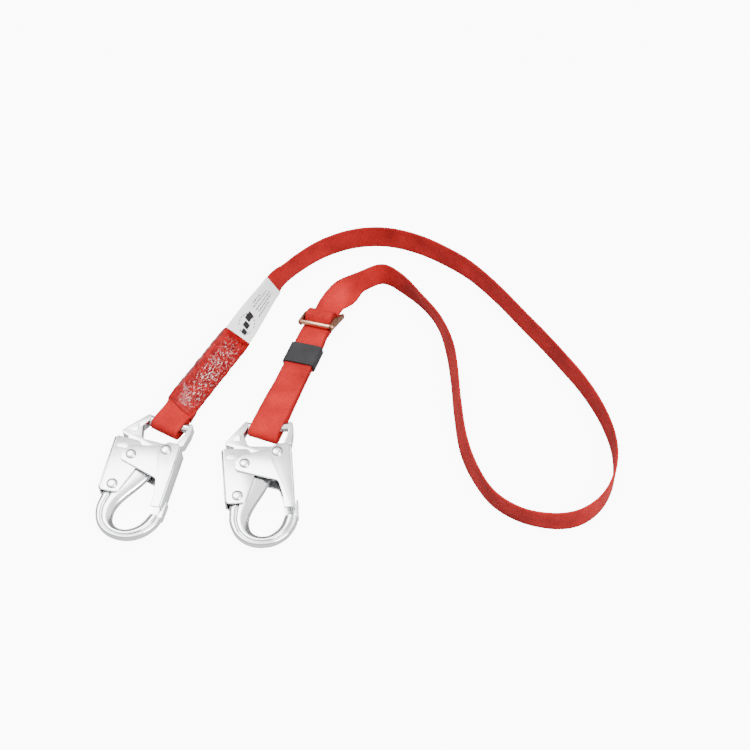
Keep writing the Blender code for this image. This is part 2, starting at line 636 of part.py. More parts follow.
def adjuster_web_profile():
    """Run of the doubled strap as (distance, height): from its sewn end, round the centre bar, along
    the lower strand, round hook b's crossbar, back along the upper strand and over the centre bar."""
    centre = (CENTRE_BAR_AT, CENTRE_BAR_HEIGHT)
    layer = WEB_THICK + GAP
    under = STRAND_HIGH - layer
    tail = [Vector((ADJUSTER_AT - 5 * MM, under - layer)), Vector((ADJUSTER_AT + 4 * MM, under - layer)),
            Vector((CENTRE_BAR_AT - 5 * MM, CENTRE_BAR_HEIGHT - SEWN_RADIUS - 0.9 * MM))]
    sewn = arc(centre, SEWN_RADIUS, -90, 130, 8)
    drop = [Vector((ADJUSTER_AT + 4 * MM, under + 0.8 * MM)), Vector((ADJUSTER_AT - 1 * MM, under)),
            Vector((ADJUSTER_AT - 9 * MM, STRAND_LOW + 0.6 * MM)), Vector((BEND_START, STRAND_LOW))]
    lower = smooth_curve([drop[-1], (60 * MM, STRAND_LOW), (30 * MM, STRAND_LOW + 1.2 * MM),
                          (8 * MM, HOOK_Z - LOOP_RADIUS), (-LOOP_PAST_B, HOOK_Z - LOOP_RADIUS)], 4)
    turn = arc((-LOOP_PAST_B, HOOK_Z), LOOP_RADIUS, 270, 90, 8)
    upper = smooth_curve([turn[-1], (8 * MM, HOOK_Z + LOOP_RADIUS), (32 * MM, STRAND_HIGH + 4.2 * MM),
                          (60 * MM, STRAND_HIGH), (BEND_START, STRAND_HIGH)], 4)
    climb = [Vector((ADJUSTER_AT - 6 * MM, STRAND_HIGH)), Vector((ADJUSTER_AT, STRAND_HIGH)),
             Vector((ADJUSTER_AT + 2.2 * MM, STRAND_HIGH + 0.4 * MM))]
    over = arc(centre, OVER_RADIUS, 160, -8, 10)
    leave = [Vector((REAR_BAR_AT - 4.6 * MM, LEAVE_HEIGHT + 0.5 * MM)), Vector((REAR_BAR_AT - 2 * MM, LEAVE_HEIGHT)),
             Vector((WEB_JOIN_AT, LEAVE_HEIGHT))]
    return tail + sewn + drop[:-1] + lower[:-1] + turn + upper[1:] + climb + over + leave


def adjuster_web(finish):
    stations = []
    profile = adjuster_web_profile()
    for s, height in profile:
        place, across, face = strand_frame(s)
        stations.append((place + face * height, across))
    return strap("adjuster_web", stations, finish)


def adjuster(frame_finish):
    """Frame of two cheeks and two bars, and the centre bar that the strap runs over."""
    inside = WEB_WIDTH / 2 + CHEEK_CLEARANCE
    outside = inside + CHEEK_THICK
    place, _, _ = strand_frame(ADJUSTER_AT)
    hub = add_empty("adjuster_home", place, -ADJUSTER_HEADING)
    hub.rotation_euler.y = -ADJUSTER_LEAN
    cheek_outline = rounded(((-4.2 * MM, 16.0 * MM, 3.0 * MM), (-2.4 * MM, 12.0 * MM, 2.4 * MM),
                             (2 * BAR_PITCH + 0.6 * MM, 4.4 * MM, 1.8 * MM),
                             (2 * BAR_PITCH + 3.2 * MM, 9.2 * MM, 2.2 * MM),
                             (BAR_PITCH, 18.0 * MM, 6.0 * MM), (-1.6 * MM, 19.2 * MM, 2.6 * MM)), 3)
    frame = None
    for side in (-1, 1):
        low, high = sorted((side * inside, side * outside))
        count = len(cheek_outline)
        points = [(x, p[0], p[1]) for x in (low, high) for p in cheek_outline]
        faces = [(i, (i + 1) % count, count + (i + 1) % count, count + i) for i in range(count)]
        faces += [tuple(range(count)), tuple(range(count, 2 * count))]
        cheek = mesh_of("cheek", points, faces)
        if frame is None:
            frame = add_object("adjuster_frame", cheek, frame_finish, hub)
        else:
            cut(frame, "right_cheek", cheek, "UNION")
    reach = outside - 0.4 * MM
    front = rod("bar", (-reach - 1.4 * MM, 0.0, FRONT_BAR_HEIGHT), (reach + 1.4 * MM, 0.0, FRONT_BAR_HEIGHT),
                FRONT_BAR_RADIUS)
    cut(frame, "front_bar", front, "UNION")
    rear_y = 2 * BAR_PITCH
    rear = rod("bar", (-reach, rear_y, REAR_BAR_HEIGHT), (reach, rear_y, REAR_BAR_HEIGHT), REAR_BAR_RADIUS)
    cut(frame, "rear_bar", rear, "UNION")
    far = outside + 5 * MM
    hole = rod("hole", (-far, BAR_PITCH, CENTRE_BAR_HEIGHT), (far, BAR_PITCH, CENTRE_BAR_HEIGHT),
               CENTRE_BAR_RADIUS + GAP)
    cut(frame, "centre_bar_hole", hole)
    bar = rod("adjuster_bar", (-outside, BAR_PITCH, CENTRE_BAR_HEIGHT), (outside, BAR_PITCH,
                                                                         CENTRE_BAR_HEIGHT), CENTRE_BAR_RADIUS)
    add_object("adjuster_bar", bar, frame_finish, hub)


def keeper(finish):
    """Moulded loop round both strands; it slides along them."""
    low = STRAND_LOW - WEB_THICK / 2 - KEEPER_CLEARANCE
    high = STRAND_HIGH + WEB_THICK / 2 + KEEPER_CLEARANCE
    stations = []
    for s in (KEEPER_AT - KEEPER_LENGTH / 2, KEEPER_AT + KEEPER_LENGTH / 2):
        place, across, face = strand_frame(s)
        stations.append((place + face * ((low + high) / 2), across, face,
                         WEB_WIDTH / 2 + KEEPER_CLEARANCE, (high - low) / 2))
    return sleeve("web_keeper", stations, KEEPER_WALL, finish)


def main():
    clear_scene()
    steel = material("zinc_steel", (0.72, 0.73, 0.75), 0.32, 1.0)
    spring = material("spring_steel", (0.45, 0.45, 0.47), 0.3, 1.0)
    web = material("red_web", (0.62, 0.06, 0.05), 0.75)
    tear = material("tear_web", (0.45, 0.03, 0.03), 0.8)
    film = material("clear_film", (0.55, 0.04, 0.04), 0.12)
    label = material("label", (0.86, 0.86, 0.84), 0.55)
    bronze = material("yellow_zinc", (0.62, 0.42, 0.30), 0.3, 1.0)
    rubber = material("black_rubber", (0.06, 0.06, 0.065), 0.6)

    snap_hook("a", EYE_A, TURN_A, (steel, spring))
    snap_hook("b", EYE_B, TURN_B, (steel, spring))
    hook_loop(web)
    tear_webbing(tear)
    sleeve("shrink_wrap", wrap_stations(), WRAP_WALL, film)
    pack_web(web)
    sleeve("label_sleeve", label_stations(), LABEL_WALL, label)
    long_web(web)
    adjuster_web(web)
    adjuster(bronze)
    keeper(rubber)
    for made in bpy.data.objects:
        if made.parent is None:
            made.location -= Vector((*LAYOUT_CENTRE, 0.0))


main()
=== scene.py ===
"""Looks of the shock absorbing lanyard: two zinc plated snap hooks, red webbing, a shrink wrapped pack
with its label, a slide adjuster and a keeper, lying on a pale floor. Lengths are in millimetres until
they reach a mesh."""

import math

import bpy
import numpy as np
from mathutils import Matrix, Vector


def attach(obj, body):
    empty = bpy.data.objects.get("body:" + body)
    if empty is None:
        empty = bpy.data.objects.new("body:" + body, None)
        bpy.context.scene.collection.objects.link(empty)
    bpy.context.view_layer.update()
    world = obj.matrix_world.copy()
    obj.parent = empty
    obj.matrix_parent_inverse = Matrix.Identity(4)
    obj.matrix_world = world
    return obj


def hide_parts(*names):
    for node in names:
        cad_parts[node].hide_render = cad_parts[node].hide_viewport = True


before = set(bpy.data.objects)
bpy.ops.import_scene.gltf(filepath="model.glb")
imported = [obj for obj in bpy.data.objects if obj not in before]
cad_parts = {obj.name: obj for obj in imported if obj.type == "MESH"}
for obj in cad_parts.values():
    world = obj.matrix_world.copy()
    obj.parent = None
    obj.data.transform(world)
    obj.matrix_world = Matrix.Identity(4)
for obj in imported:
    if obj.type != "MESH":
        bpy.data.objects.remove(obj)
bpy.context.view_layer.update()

MM = 0.001
GAP = 0.3
LAYOUT_CENTRE = np.array([-145.84, -49.28, 0.0])
WEB_WIDTH = 30.0
WEB_THICK = 2.4
UP = np.array([0.0, 0.0, 1.0])

# Hook sizes, as in the solids
HOOK_HALF = 5.3
PLATE = 1.8
LEVER_INSIDE = HOOK_HALF + GAP
GATE_INSIDE = LEVER_INSIDE + PLATE + GAP
STACK = GATE_INSIDE + PLATE + GAP
HEAD_HEIGHT = 2.2
HOOK_Z = STACK + HEAD_HEIGHT
GATE_PIVOT = (11.4, 70.2)
TAIL_PIN = (-18.9, 56.6)
LEVER_PIVOT = (-23.6, 22.0)
EYE_REACH = 104.5
EYE = {"a": (-200.5, -69.5), "b": (-104.6, -72.9)}
TURN = {"a": math.radians(-16.5), "b": 0.0}


# --- Camera and light -------------------------------------------------------------------------------


def aim(thing, target):
    """Turn a camera or a lamp to face a point."""
    toward = Vector(target) - thing.location
    thing.rotation_euler = toward.to_track_quat("-Z", "Y").to_euler()


def make_camera():
    """The camera, looking down at the laid lanyard."""
    lens = bpy.data.cameras.new("camera")
    lens.lens = 62.4
    lens.sensor_width = 36.0
    lens.clip_end = 20.0
    camera = bpy.data.objects.new("camera", lens)
    bpy.context.scene.collection.objects.link(camera)
    target = (-LAYOUT_CENTRE[0] * MM, -LAYOUT_CENTRE[1] * MM, 0.0)
    distance, elevation = 1.32, math.radians(53.0)
    camera.location = (target[0], target[1] - distance * math.cos(elevation),
                       distance * math.sin(elevation))
    aim(camera, target)
    bpy.context.scene.camera = camera


def area_light(name, place, target, size, power):
    """A soft disk lamp aimed at a point."""
    lamp = bpy.data.lights.new(name, "AREA")
    lamp.shape = "DISK"
    lamp.size = size
    lamp.energy = power
    made = bpy.data.objects.new(name, lamp)
    bpy.context.scene.collection.objects.link(made)
    made.location = place
    aim(made, target)


def make_studio():
    """A pale studio world with its soft lamps."""
    world = bpy.data.worlds.new("studio")
    world.use_nodes = True
    tree = world.node_tree
    toward = tree.nodes.new("ShaderNodeTexCoord")
    parts = tree.nodes.new("ShaderNodeSeparateXYZ")
    ramp = tree.nodes.new("ShaderNodeValToRGB")
    tree.links.new(toward.outputs["Generated"], parts.inputs[0])
    tree.links.new(parts.outputs[2], ramp.inputs[0])
    elements = ramp.color_ramp.elements
    while len(elements) < len(SKY):
        elements.new(0.5)
    for element, (height, grey) in zip(elements, SKY):
        element.position = height
        element.color = (grey, grey, grey, 1.0)
    back = tree.nodes["Background"]
    tree.links.new(ramp.outputs[0], back.inputs["Color"])
    back.inputs["Strength"].default_value = WORLD_STRENGTH
    bpy.context.scene.world = world
    middle = (0.1, 0.05, 0.0)
    area_light("key", (-0.5, 0.5, 1.5), middle, 1.1, KEY_POWER)
    area_light("fill", (1.0, -0.7, 1.3), middle, 0.9, FILL_POWER)


WORLD_STRENGTH = 1.9
KEY_POWER = 24.0
FILL_POWER = 46.0
# Brightness of the surroundings against height: a dark band low down draws the edges of the metal
SKY = ((0.0, 0.04), (0.26, 0.05), (0.44, 0.75), (0.6, 1.0))


# --- Materials --------------------------------------------------------------------------------------


class Look:
    """A material under construction; its methods add nodes and return their outputs."""

    def __init__(self, name, roughness=0.5, metallic=0.0):
        self.material = bpy.data.materials.new(name)
        self.material.use_nodes = True
        self.tree = self.material.node_tree
        self.surface = self.tree.nodes["Principled BSDF"]
        self.set("Roughness", roughness)
        self.set("Metallic", metallic)

    def set(self, socket, value):
        target = self.surface.inputs[socket]
        if isinstance(value, bpy.types.NodeSocket):
            self.tree.links.new(value, target)
        else:
            target.default_value = value

    def feed(self, node, index, value):
        if isinstance(value, bpy.types.NodeSocket):
            self.tree.links.new(value, node.inputs[index])
        else:
            node.inputs[index].default_value = value

    def math(self, operation, a, b=0.0, clamp=False):
        node = self.tree.nodes.new("ShaderNodeMath")
        node.operation = operation
        node.use_clamp = clamp
        self.feed(node, 0, a)
        self.feed(node, 1, b)
        return node.outputs[0]

    def place(self):
        return self.tree.nodes.new("ShaderNodeTexCoord").outputs["Object"]

    def along(self):
        """Position on the strap: across from 0 to 1 and along in metres."""
        node = self.tree.nodes.new("ShaderNodeUVMap")
        node.uv_map = "strap"
        parts = self.tree.nodes.new("ShaderNodeSeparateXYZ")
        self.tree.links.new(node.outputs[0], parts.inputs[0])
        return parts.outputs[0], parts.outputs[1]

    def stretched(self, scale):
        node = self.tree.nodes.new("ShaderNodeMapping")
        node.inputs["Scale"].default_value = scale
        self.tree.links.new(self.place(), node.inputs["Vector"])
        return node.outputs[0]

    def noise(self, scale, detail=2.0, vector=None, roughness=0.5):
        node = self.tree.nodes.new("ShaderNodeTexNoise")
        node.inputs["Scale"].default_value = scale
        node.inputs["Detail"].default_value = detail
        node.inputs["Roughness"].default_value = roughness
        self.tree.links.new(vector or self.place(), node.inputs["Vector"])
        return node.outputs["Fac"]

    def ramp(self, value, stops):
        node = self.tree.nodes.new("ShaderNodeValToRGB")
        elements = node.color_ramp.elements
        while len(elements) < len(stops):
            elements.new(0.5)
        for element, (position, colour) in zip(elements, stops):
            element.position = position
            element.color = (*colour, 1.0)
        self.tree.links.new(value, node.inputs[0])
        return node.outputs["Color"]

    def mix(self, factor, a, b, how="MIX"):
        node = self.tree.nodes.new("ShaderNodeMix")
        node.data_type = "RGBA"
        node.blend_type = how
        for index, value in ((0, factor), (6, a), (7, b)):
            if not isinstance(value, (float, bpy.types.NodeSocket)):
                value = (*value, 1.0)
            self.feed(node, index, value)
        return node.outputs[2]

    def bump(self, height, strength, distance):
        node = self.tree.nodes.new("ShaderNodeBump")
        node.inputs["Strength"].default_value = strength
        node.inputs["Distance"].default_value = distance
        self.tree.links.new(height, node.inputs["Height"])
        self.set("Normal", node.outputs[0])


def web_look(name, deep, middle, bright):
    """Tight ribbed polyester weave with thin darker selvedges and a slight nap sheen."""
    look = Look(name, 0.7)
    across, run = look.along()
    rib = look.math("SINE", look.math("MULTIPLY", run, 2 * math.pi / 0.0013))
    warp = look.math("SINE", look.math("MULTIPLY", across, 2 * math.pi * 21))
    weave = look.math("MULTIPLY", rib, warp)
    edge = look.math("ABSOLUTE", look.math("SUBTRACT", across, 0.5))
    selvedge = look.math("GREATER_THAN", edge, 0.462)
    cloud = look.noise(38.0, 3.0)
    streak = look.noise(1.0, 2.0, look.stretched((420.0, 420.0, 420.0)))
    tone = look.math("ADD", look.math("MULTIPLY", cloud, 0.75), look.math("MULTIPLY", streak, 0.25))
    colour = look.ramp(tone, [(0.3, deep), (0.52, middle), (0.72, bright)])
    thread = look.math("ADD", look.math("MULTIPLY", weave, 0.5), 0.5)
    colour = look.mix(look.math("MULTIPLY", thread, 0.16), colour, deep)
    colour = look.mix(look.math("MULTIPLY", selvedge, 0.45), colour, deep)
    look.set("Base Color", colour)
    look.set("Sheen Weight", 0.06)
    look.set("Sheen Roughness", 0.4)
    look.set("Sheen Tint", (1.0, 0.3, 0.25, 1.0))
    look.set("Specular IOR Level", 0.16)
    look.bump(look.math("ADD", weave, look.math("MULTIPLY", selvedge, 1.5)), 0.45, 0.00018)
    return look.material


def steel_look(name, tone, roughness=0.27):
    """Zinc plate over ground steel: cool grey white with fine scuffs and a slightly uneven polish."""
    look = Look(name, roughness, 1.0)
    broad = look.noise(55.0, 3.0)
    fine = look.noise(900.0, 2.0)
    dark = tuple(v * 0.9 for v in tone)
    look.set("Base Color", look.ramp(broad, [(0.3, dark), (0.62, tone)]))
    grain = look.math("MULTIPLY", look.math("SUBTRACT", broad, 0.5), 0.22)
    look.set("Roughness", look.math("ADD", grain, roughness))
    look.bump(look.math("ADD", fine, look.math("MULTIPLY", broad, 2.0)), 0.08, 0.0002)
    return look.material


def film_look():
    """Shrunk film over red web: glossy, puckered in short creases that run along the pack, and painted
    with whitish glints on the crease tops near its middle: painted highlights where the creases would catch
    the light."""
    look = Look("shrunk_film", 0.18)
    across, run = look.along()
    lengthwise = look.tree.nodes.new("ShaderNodeCombineXYZ")
    look.feed(lengthwise, 0, look.math("MULTIPLY", across, 0.031))
    look.feed(lengthwise, 1, look.math("MULTIPLY", run, 0.42))
    crease = look.noise(620.0, 3.0, lengthwise.outputs[0], 0.6)
    fine = look.noise(1500.0, 2.0, lengthwise.outputs[0], 0.6)
    broad = look.noise(170.0, 3.0)
    off_middle = look.math("ABSOLUTE", look.math("SUBTRACT", run, 0.05))
    middle = look.math("SUBTRACT", 1.0, look.math("MULTIPLY", off_middle, 21.0), clamp=True)
    off_axis = look.math("ABSOLUTE", look.math("SUBTRACT", across, 0.48))
    inner = look.math("SUBTRACT", 1.0, look.math("MULTIPLY", off_axis, 2.5), clamp=True)
    where = look.math("MULTIPLY", look.math("POWER", middle, 0.6), look.math("POWER", inner, 0.7))
    peak = look.math("MULTIPLY", look.math("SUBTRACT", crease, 0.53), 16.0, clamp=True)
    spark = look.math("MULTIPLY", look.math("SUBTRACT", fine, 0.47), 9.0, clamp=True)
    # Mask of the painted highlights: crease peaks that meet fine sparks near the middle of the pack
    painted_glint = look.math("MULTIPLY", look.math("MULTIPLY", peak, spark), look.math("MULTIPLY", where, 1.5),
                      clamp=True)
    base = look.ramp(broad, [(0.3, (0.13, 0.002, 0.003)), (0.62, (0.29, 0.005, 0.006))])
    # Painted highlight: a whitish colour mixed in on the crease tops stands in for glints of the lamps
    look.set("Base Color", look.mix(painted_glint, base, (1.0, 0.86, 0.84)))
    look.set("Roughness", look.math("ADD", look.math("MULTIPLY", painted_glint, 0.3), 0.2))
    look.set("Specular IOR Level", 0.16)
    look.set("Coat Weight", 0.08)
    look.set("Coat Roughness", 0.1)
    height = look.math("ADD", look.math("MULTIPLY", crease, 2.0), look.math("MULTIPLY", fine, 0.6))
    look.bump(look.math("MULTIPLY", height, look.math("ADD", where, 0.12)), 0.6, 0.0012)
    return look.material


def label_look():
    """White printed sleeve: satin, faintly mottled, greyer along its two long edges."""
    look = Look("label_sheet", 0.42)
    across, _ = look.along()
    edge = look.math("ABSOLUTE", look.math("SUBTRACT", across, 0.5))
    long_edge_band = look.math("GREATER_THAN", edge, 0.47)
    cloud = look.noise(120.0, 3.0)
    colour = look.ramp(cloud, [(0.3, (0.90, 0.91, 0.90)), (0.7, (0.96, 0.96, 0.95))])
    look.set("Base Color", look.mix(look.math("MULTIPLY", long_edge_band, 0.35), colour, (0.5, 0.5, 0.5)))
    look.bump(look.math("ADD", cloud, look.noise(700.0)), 0.12, 0.0005)
    return look.material


def ink_look():
    """Matt black print with slight mottling."""
    look = Look("label_ink", 0.5)
    look.set("Base Color", look.ramp(look.noise(900.0), [(0.35, (0.006, 0.006, 0.007)),
                                                         (0.7, (0.03, 0.03, 0.032))]))
    look.set("Specular IOR Level", 0.2)
    return look.material


def bronze_look(name, dark, light, roughness):
    """Yellow zinc plate: pinkish bronze with browner patches."""
    look = Look(name, roughness, 1.0)
    cloud = look.noise(90.0, 3.0)
    look.set("Base Color", look.ramp(cloud, [(0.3, dark), (0.62, light)]))
    look.set("Roughness", look.math("ADD", look.math("MULTIPLY", cloud, 0.2), roughness - 0.1))
    look.bump(look.noise(1200.0), 0.08, 0.0002)
    return look.material


def rubber_look():
    """Moulded black rubber with a fine even grain."""
    look = Look("moulded_rubber", 0.62)
    grain = look.noise(1500.0, 2.0)
    cloud = look.noise(60.0, 2.0)
    look.set("Base Color", look.ramp(cloud, [(0.3, (0.011, 0.0105, 0.012)), (0.7, (0.018, 0.017, 0.019))]))
    look.set("Specular IOR Level", 0.3)
    look.bump(grain, 0.25, 0.0003)
    return look.material


def floor_look():
    """Pale paper, shown to the camera as an evenly lit backdrop."""
    look = Look("floor", 0.9)
    cloud = look.noise(3.0)
    look.set("Base Color", look.ramp(cloud, [(0.3, (0.34, 0.34, 0.34)), (0.7, (0.38, 0.38, 0.38))]))
    look.set("Specular IOR Level", 0.0)
    look.set("Emission Color", (1.0, 1.0, 0.995, 1.0))
    seen = look.tree.nodes.new("ShaderNodeLightPath").outputs["Is Camera Ray"]
    look.set("Emission Strength", look.math("MULTIPLY", seen, FLOOR_GLOW))
    return look.material


FLOOR_GLOW = 9.5


# --- Mesh building ----------------------------------------------------------------------------------


def piece(name, points, quads, look, body, stands_for=(), slot=None, place=None, uv=None, caps=()):
    """Mesh object from (n, 3) points in millimetres and quads, moved by a hook's place if it has one.
    It rides on its body and stands for CAD nodes."""
    points = np.asarray(points, float)
    if place is not None:
        points = points @ place[0].T + place[1]
    points = (points - LAYOUT_CENTRE) * MM
    mesh = bpy.data.meshes.new(name)
    mesh.from_pydata(points.tolist(), [], [list(q) for q in quads] + [list(c) for c in caps])
    if uv is not None:
        layer = mesh.uv_layers.new(name="strap")
        corners = np.empty(len(mesh.loops), np.int32)
        mesh.loops.foreach_get("vertex_index", corners)
        layer.data.foreach_set("uv", np.asarray(uv, np.float32)[corners].ravel())
    mesh.materials.append(look)
    mesh.shade_smooth()
    mesh.set_sharp_from_angle(angle=math.radians(46.0))
    made = bpy.data.objects.new(name, mesh)
    bpy.context.scene.collection.objects.link(made)
    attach(made, body)
    if stands_for:
        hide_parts(*stands_for)
    return made


def joined(parts):
    """(points, faces) parts as one."""
    points, faces, count = [], [], 0
    for more, quads in parts:
        points.append(np.asarray(more, float))
        faces += [tuple(count + i for i in q) for q in quads]
        count += len(more)
    return np.concatenate(points), faces


def skin(grid, around=True, along=False, flip=False):
    """(points, faces) of a grid of points: rows of rings, closed round each ring, and end to end if
    along is set."""
    grid = np.asarray(grid, float)
    rows, count = grid.shape[:2]
    faces = []
    for i in range(rows if along else rows - 1):
        here, there = i * count, (i + 1) % rows * count
        for k in range(count if around else count - 1):
            m = (k + 1) % count
            face = (here + k, here + m, there + m, there + k)
            faces.append(face[::-1] if flip else face)
    return grid.reshape(-1, 3), faces


def outward(points, faces):
    """The same faces, turned so that the closed surface they make faces out."""
    volume = 0.0
    for face in faces:
        a = points[face[0]]
        for b, c in zip(face[1:], face[2:]):
            volume += float(np.dot(a, np.cross(points[b], points[c])))
    return faces if volume > 0 else [face[::-1] for face in faces]


def rounded(corners, steps=8):
    """Outline through (x, y, radius) corners, each turned into an arc of its radius."""
    outline = []
    count = len(corners)
    for i, (x, y, radius) in enumerate(corners):
        here = np.array([x, y])
        if radius == 0.0:
            outline.append(here)
            continue
        before = np.array(corners[i - 1][:2]) - here
        after = np.array(corners[(i + 1) % count][:2]) - here
        before /= np.linalg.norm(before)
        after /= np.linalg.norm(after)
        half = math.acos(np.clip(before @ after, -1, 1)) / 2
        middle = here + (before + after) / np.linalg.norm(before + after) * (radius / math.sin(half))
        first = here + before * (radius / math.tan(half)) - middle
        last = here + after * (radius / math.tan(half)) - middle
        turn = math.atan2(first[0] * last[1] - first[1] * last[0], first @ last)
        for k in range(steps + 1):
            angle = turn * k / steps
            c, s = math.cos(angle), math.sin(angle)
            outline.append(middle + np.array([c * first[0] - s * first[1], s * first[0] + c * first[1]]))
    return np.array(outline)


def smooth_curve(points, per_span):
    """Catmull-Rom curve through the points."""
    points = np.asarray(points, float)
    padded = np.vstack([2 * points[0] - points[1], points, 2 * points[-1] - points[-2]])
    curve = []
    for a, b, c, d in zip(padded, padded[1:], padded[2:], padded[3:]):
        for k in range(per_span):
            t = k / per_span
            bend = (2 * a - 5 * b + 4 * c - d) * t + (3 * b - a - 3 * c + d) * t * t
            curve.append(b + ((c - a) + bend) * (t / 2))
    curve.append(points[-1])
    return np.array(curve)


def resampled(points, spacing):
    """The same line in equal steps of about the spacing, and the distance run to each point."""
    run = np.concatenate([[0.0], np.cumsum(np.linalg.norm(np.diff(points, axis=0), axis=1))])
    at = np.linspace(0.0, run[-1], max(2, int(run[-1] / spacing) + 1))
    return np.stack([np.interp(at, run, points[:, i]) for i in range(points.shape[1])], 1), at


def arc(centre, radius, start, end, steps):
    """Points round part of a circle, with its angles in degrees."""
    angles = np.radians(np.linspace(start, end, steps + 1))
    return np.stack([centre[0] + radius * np.cos(angles), centre[1] + radius * np.sin(angles)], 1)


def ease(table, at):
    """Value at a place in a table of (place, value), eased from each row to the next."""
    for (low, first), (high, second) in zip(table, table[1:]):
        if at <= high:
            share = max(0.0, (at - low) / (high - low))
            return first + (second - first) * share * share * (3 - 2 * share)
    return table[-1][1]


def inset(outline, by):
    """Outline moved inward by a small distance along its mitred corner normals."""
    x, y = outline[:, 0], outline[:, 1]
    area = 0.5 * np.sum(x * np.roll(y, -1) - np.roll(x, -1) * y)
    forward = np.roll(outline, -1, 0) - outline
    forward /= np.maximum(np.linalg.norm(forward, axis=1, keepdims=True), 1e-9)
    back = np.roll(forward, 1, 0)
    side = np.sign(area)
    normal = np.stack([-forward[:, 1], forward[:, 0]], 1) * side
    before = np.stack([-back[:, 1], back[:, 0]], 1) * side
    mitre = normal + before
    length = np.maximum((mitre * normal).sum(1, keepdims=True), 0.6)
    return outline + mitre / length * by


def slab(outline, low, high, radius, steps=4):
    """(points, faces) of a flat plate with rounded edges: rings of the outline, each drawn in by
    r(1 - sin a) at height r(1 - cos a) from a face, with a in quarter turn steps, and a cap on each face."""
    keep = np.linalg.norm(outline - np.roll(outline, 1, 0), axis=1) > 0.02
    outline = outline[keep]
    rings = []
    for k in range(steps + 1):
        a = math.pi / 2 * k / steps
        rings.append((inset(outline, radius * (1 - math.sin(a))), low + radius * (1 - math.cos(a))))
    for k in range(steps, -1, -1):
        a = math.pi / 2 * k / steps
        rings.append((inset(outline, radius * (1 - math.sin(a))), high - radius * (1 - math.cos(a))))
    grid = [np.column_stack([ring, np.full(len(ring), z)]) for ring, z in rings]
    points, faces = skin(grid)
    count = len(outline)
    faces = faces + [tuple(range(count))[::-1], tuple(range(len(points) - count, len(points)))]
    return points, outward(points, faces)


def turned(profile, sides=40):
    """(points, faces) of revolution about z: r(t) (cos a, sin a) at height z(t)."""
    angles = np.linspace(0, 2 * math.pi, sides, endpoint=False)
    circle = np.stack([np.cos(angles), np.sin(angles), np.zeros(sides)], 1)
    grid = [circle * max(r, 0.01) + UP * z for r, z in profile]
    points, faces = skin(grid)
    faces = faces + [tuple(range(sides)), tuple(range(len(points) - sides, len(points)))[::-1]]
    return points, outward(points, faces)


def tube(start, end, radius, sides=32, round_by=0.5):
    """(points, faces) of a round bar with rounded ends."""
    start, end = np.array(start, float), np.array(end, float)
    along = (end - start) / np.linalg.norm(end - start)
    across = np.cross(along, UP if abs(along[2]) < 0.9 else np.array([1.0, 0, 0]))
    across /= np.linalg.norm(across)
    other = np.cross(along, across)
    angles = np.linspace(0, 2 * math.pi, sides, endpoint=False)[:, None]
    circle = across * np.cos(angles) + other * np.sin(angles)
    grid = [start + along * (round_by * (1 - math.cos(math.pi / 2 * k / 4)))
            + circle * (radius - round_by * (1 - math.sin(math.pi / 2 * k / 4))) for k in range(5)]
    grid += [end - along * (round_by * (1 - math.cos(math.pi / 2 * k / 4)))
             + circle * (radius - round_by * (1 - math.sin(math.pi / 2 * k / 4))) for k in range(4, -1, -1)]
    points, faces = skin(grid)
    faces = faces + [tuple(range(sides)), tuple(range(len(points) - sides, len(points)))[::-1]]
    return points, outward(points, faces)


# --- Webbing ----------------------------------------------------------------------------------------


def heading(angle):
    """Along and to the left of a heading measured from +Y towards +X."""
    along = np.array([math.sin(angle), math.cos(angle), 0.0])
    return along, np.array([-along[1], along[0], 0.0])


def web_section(width=WEB_WIDTH, thick=WEB_THICK):
    """Ring of a web's cross-section: (across, deep, share) all the way round."""
    half, deep = width / 2, thick / 2
    ring = []
    flat = np.linspace(-0.93, 0.93, 9)
    for t in flat:
        ring.append((half * t, deep * (1.0 - 0.05 * abs(t)), t))
    for k in range(1, 6):
        a = math.pi * k / 6
        reach = 0.93 + 0.07 * math.sin(a)
        ring.append((half * reach, deep * 0.95 * math.cos(a), reach))
    for t in flat[::-1]:
        ring.append((half * t, -deep * (1.0 - 0.05 * abs(t)), t))
    for k in range(1, 6):
        a = math.pi * k / 6
        reach = 0.93 + 0.07 * math.sin(a)
        ring.append((-half * reach, -deep * 0.95 * math.cos(a), -reach))
    return np.array(ring)


def strap(name, middles, acrosses, look, stands_for, body="webbing", ripple=0.0, tuck=0):
    """Web swept along its centreline: C(s) + a W(s) + d N(s), where (a, d) runs round the
    cross-section, W is the width direction and N the face's normal. A slow ripple bows its face, and
    its last few rings, tuck of them, are a little smaller, to slip inside the web they run on from."""
    ring = web_section()
    middles = np.asarray(middles, float)
    run = np.concatenate([[0.0], np.cumsum(np.linalg.norm(np.diff(middles, axis=0), axis=1))])
    along = np.gradient(middles, axis=0)
    along /= np.linalg.norm(along, axis=1, keepdims=True)
    acrosses = np.asarray(acrosses, float)
    acrosses = acrosses - along * (acrosses * along).sum(1, keepdims=True)
    acrosses /= np.linalg.norm(acrosses, axis=1, keepdims=True)
    faces_to = np.cross(along, acrosses)
    bow = ripple * np.sin(run / 41.0) * np.sin(run / 97.0 + 1.0)
    grid, uv = [], []
    for i in range(len(middles)):
        cup = bow[i] * (1 - ring[:, 2:3] ** 2)
        small = 0.9 if i >= len(middles) - tuck else 1.0
        grid.append(middles[i] + acrosses[i] * (ring[:, 0:1] * (0.5 + small / 2)) + faces_to[i] * (
            ring[:, 1:2] * small + cup))
        uv.append(np.column_stack([ring[:, 2] / 2 + 0.5, np.full(len(ring), run[i] * MM)]))
    points, faces = skin(grid)
    count = len(ring)
    faces = faces + [tuple(range(count)), tuple(range(len(points) - count, len(points)))[::-1]]
    return piece(name, points, outward(points, faces), look, body, stands_for, "red_web",
                 uv=np.concatenate(uv))


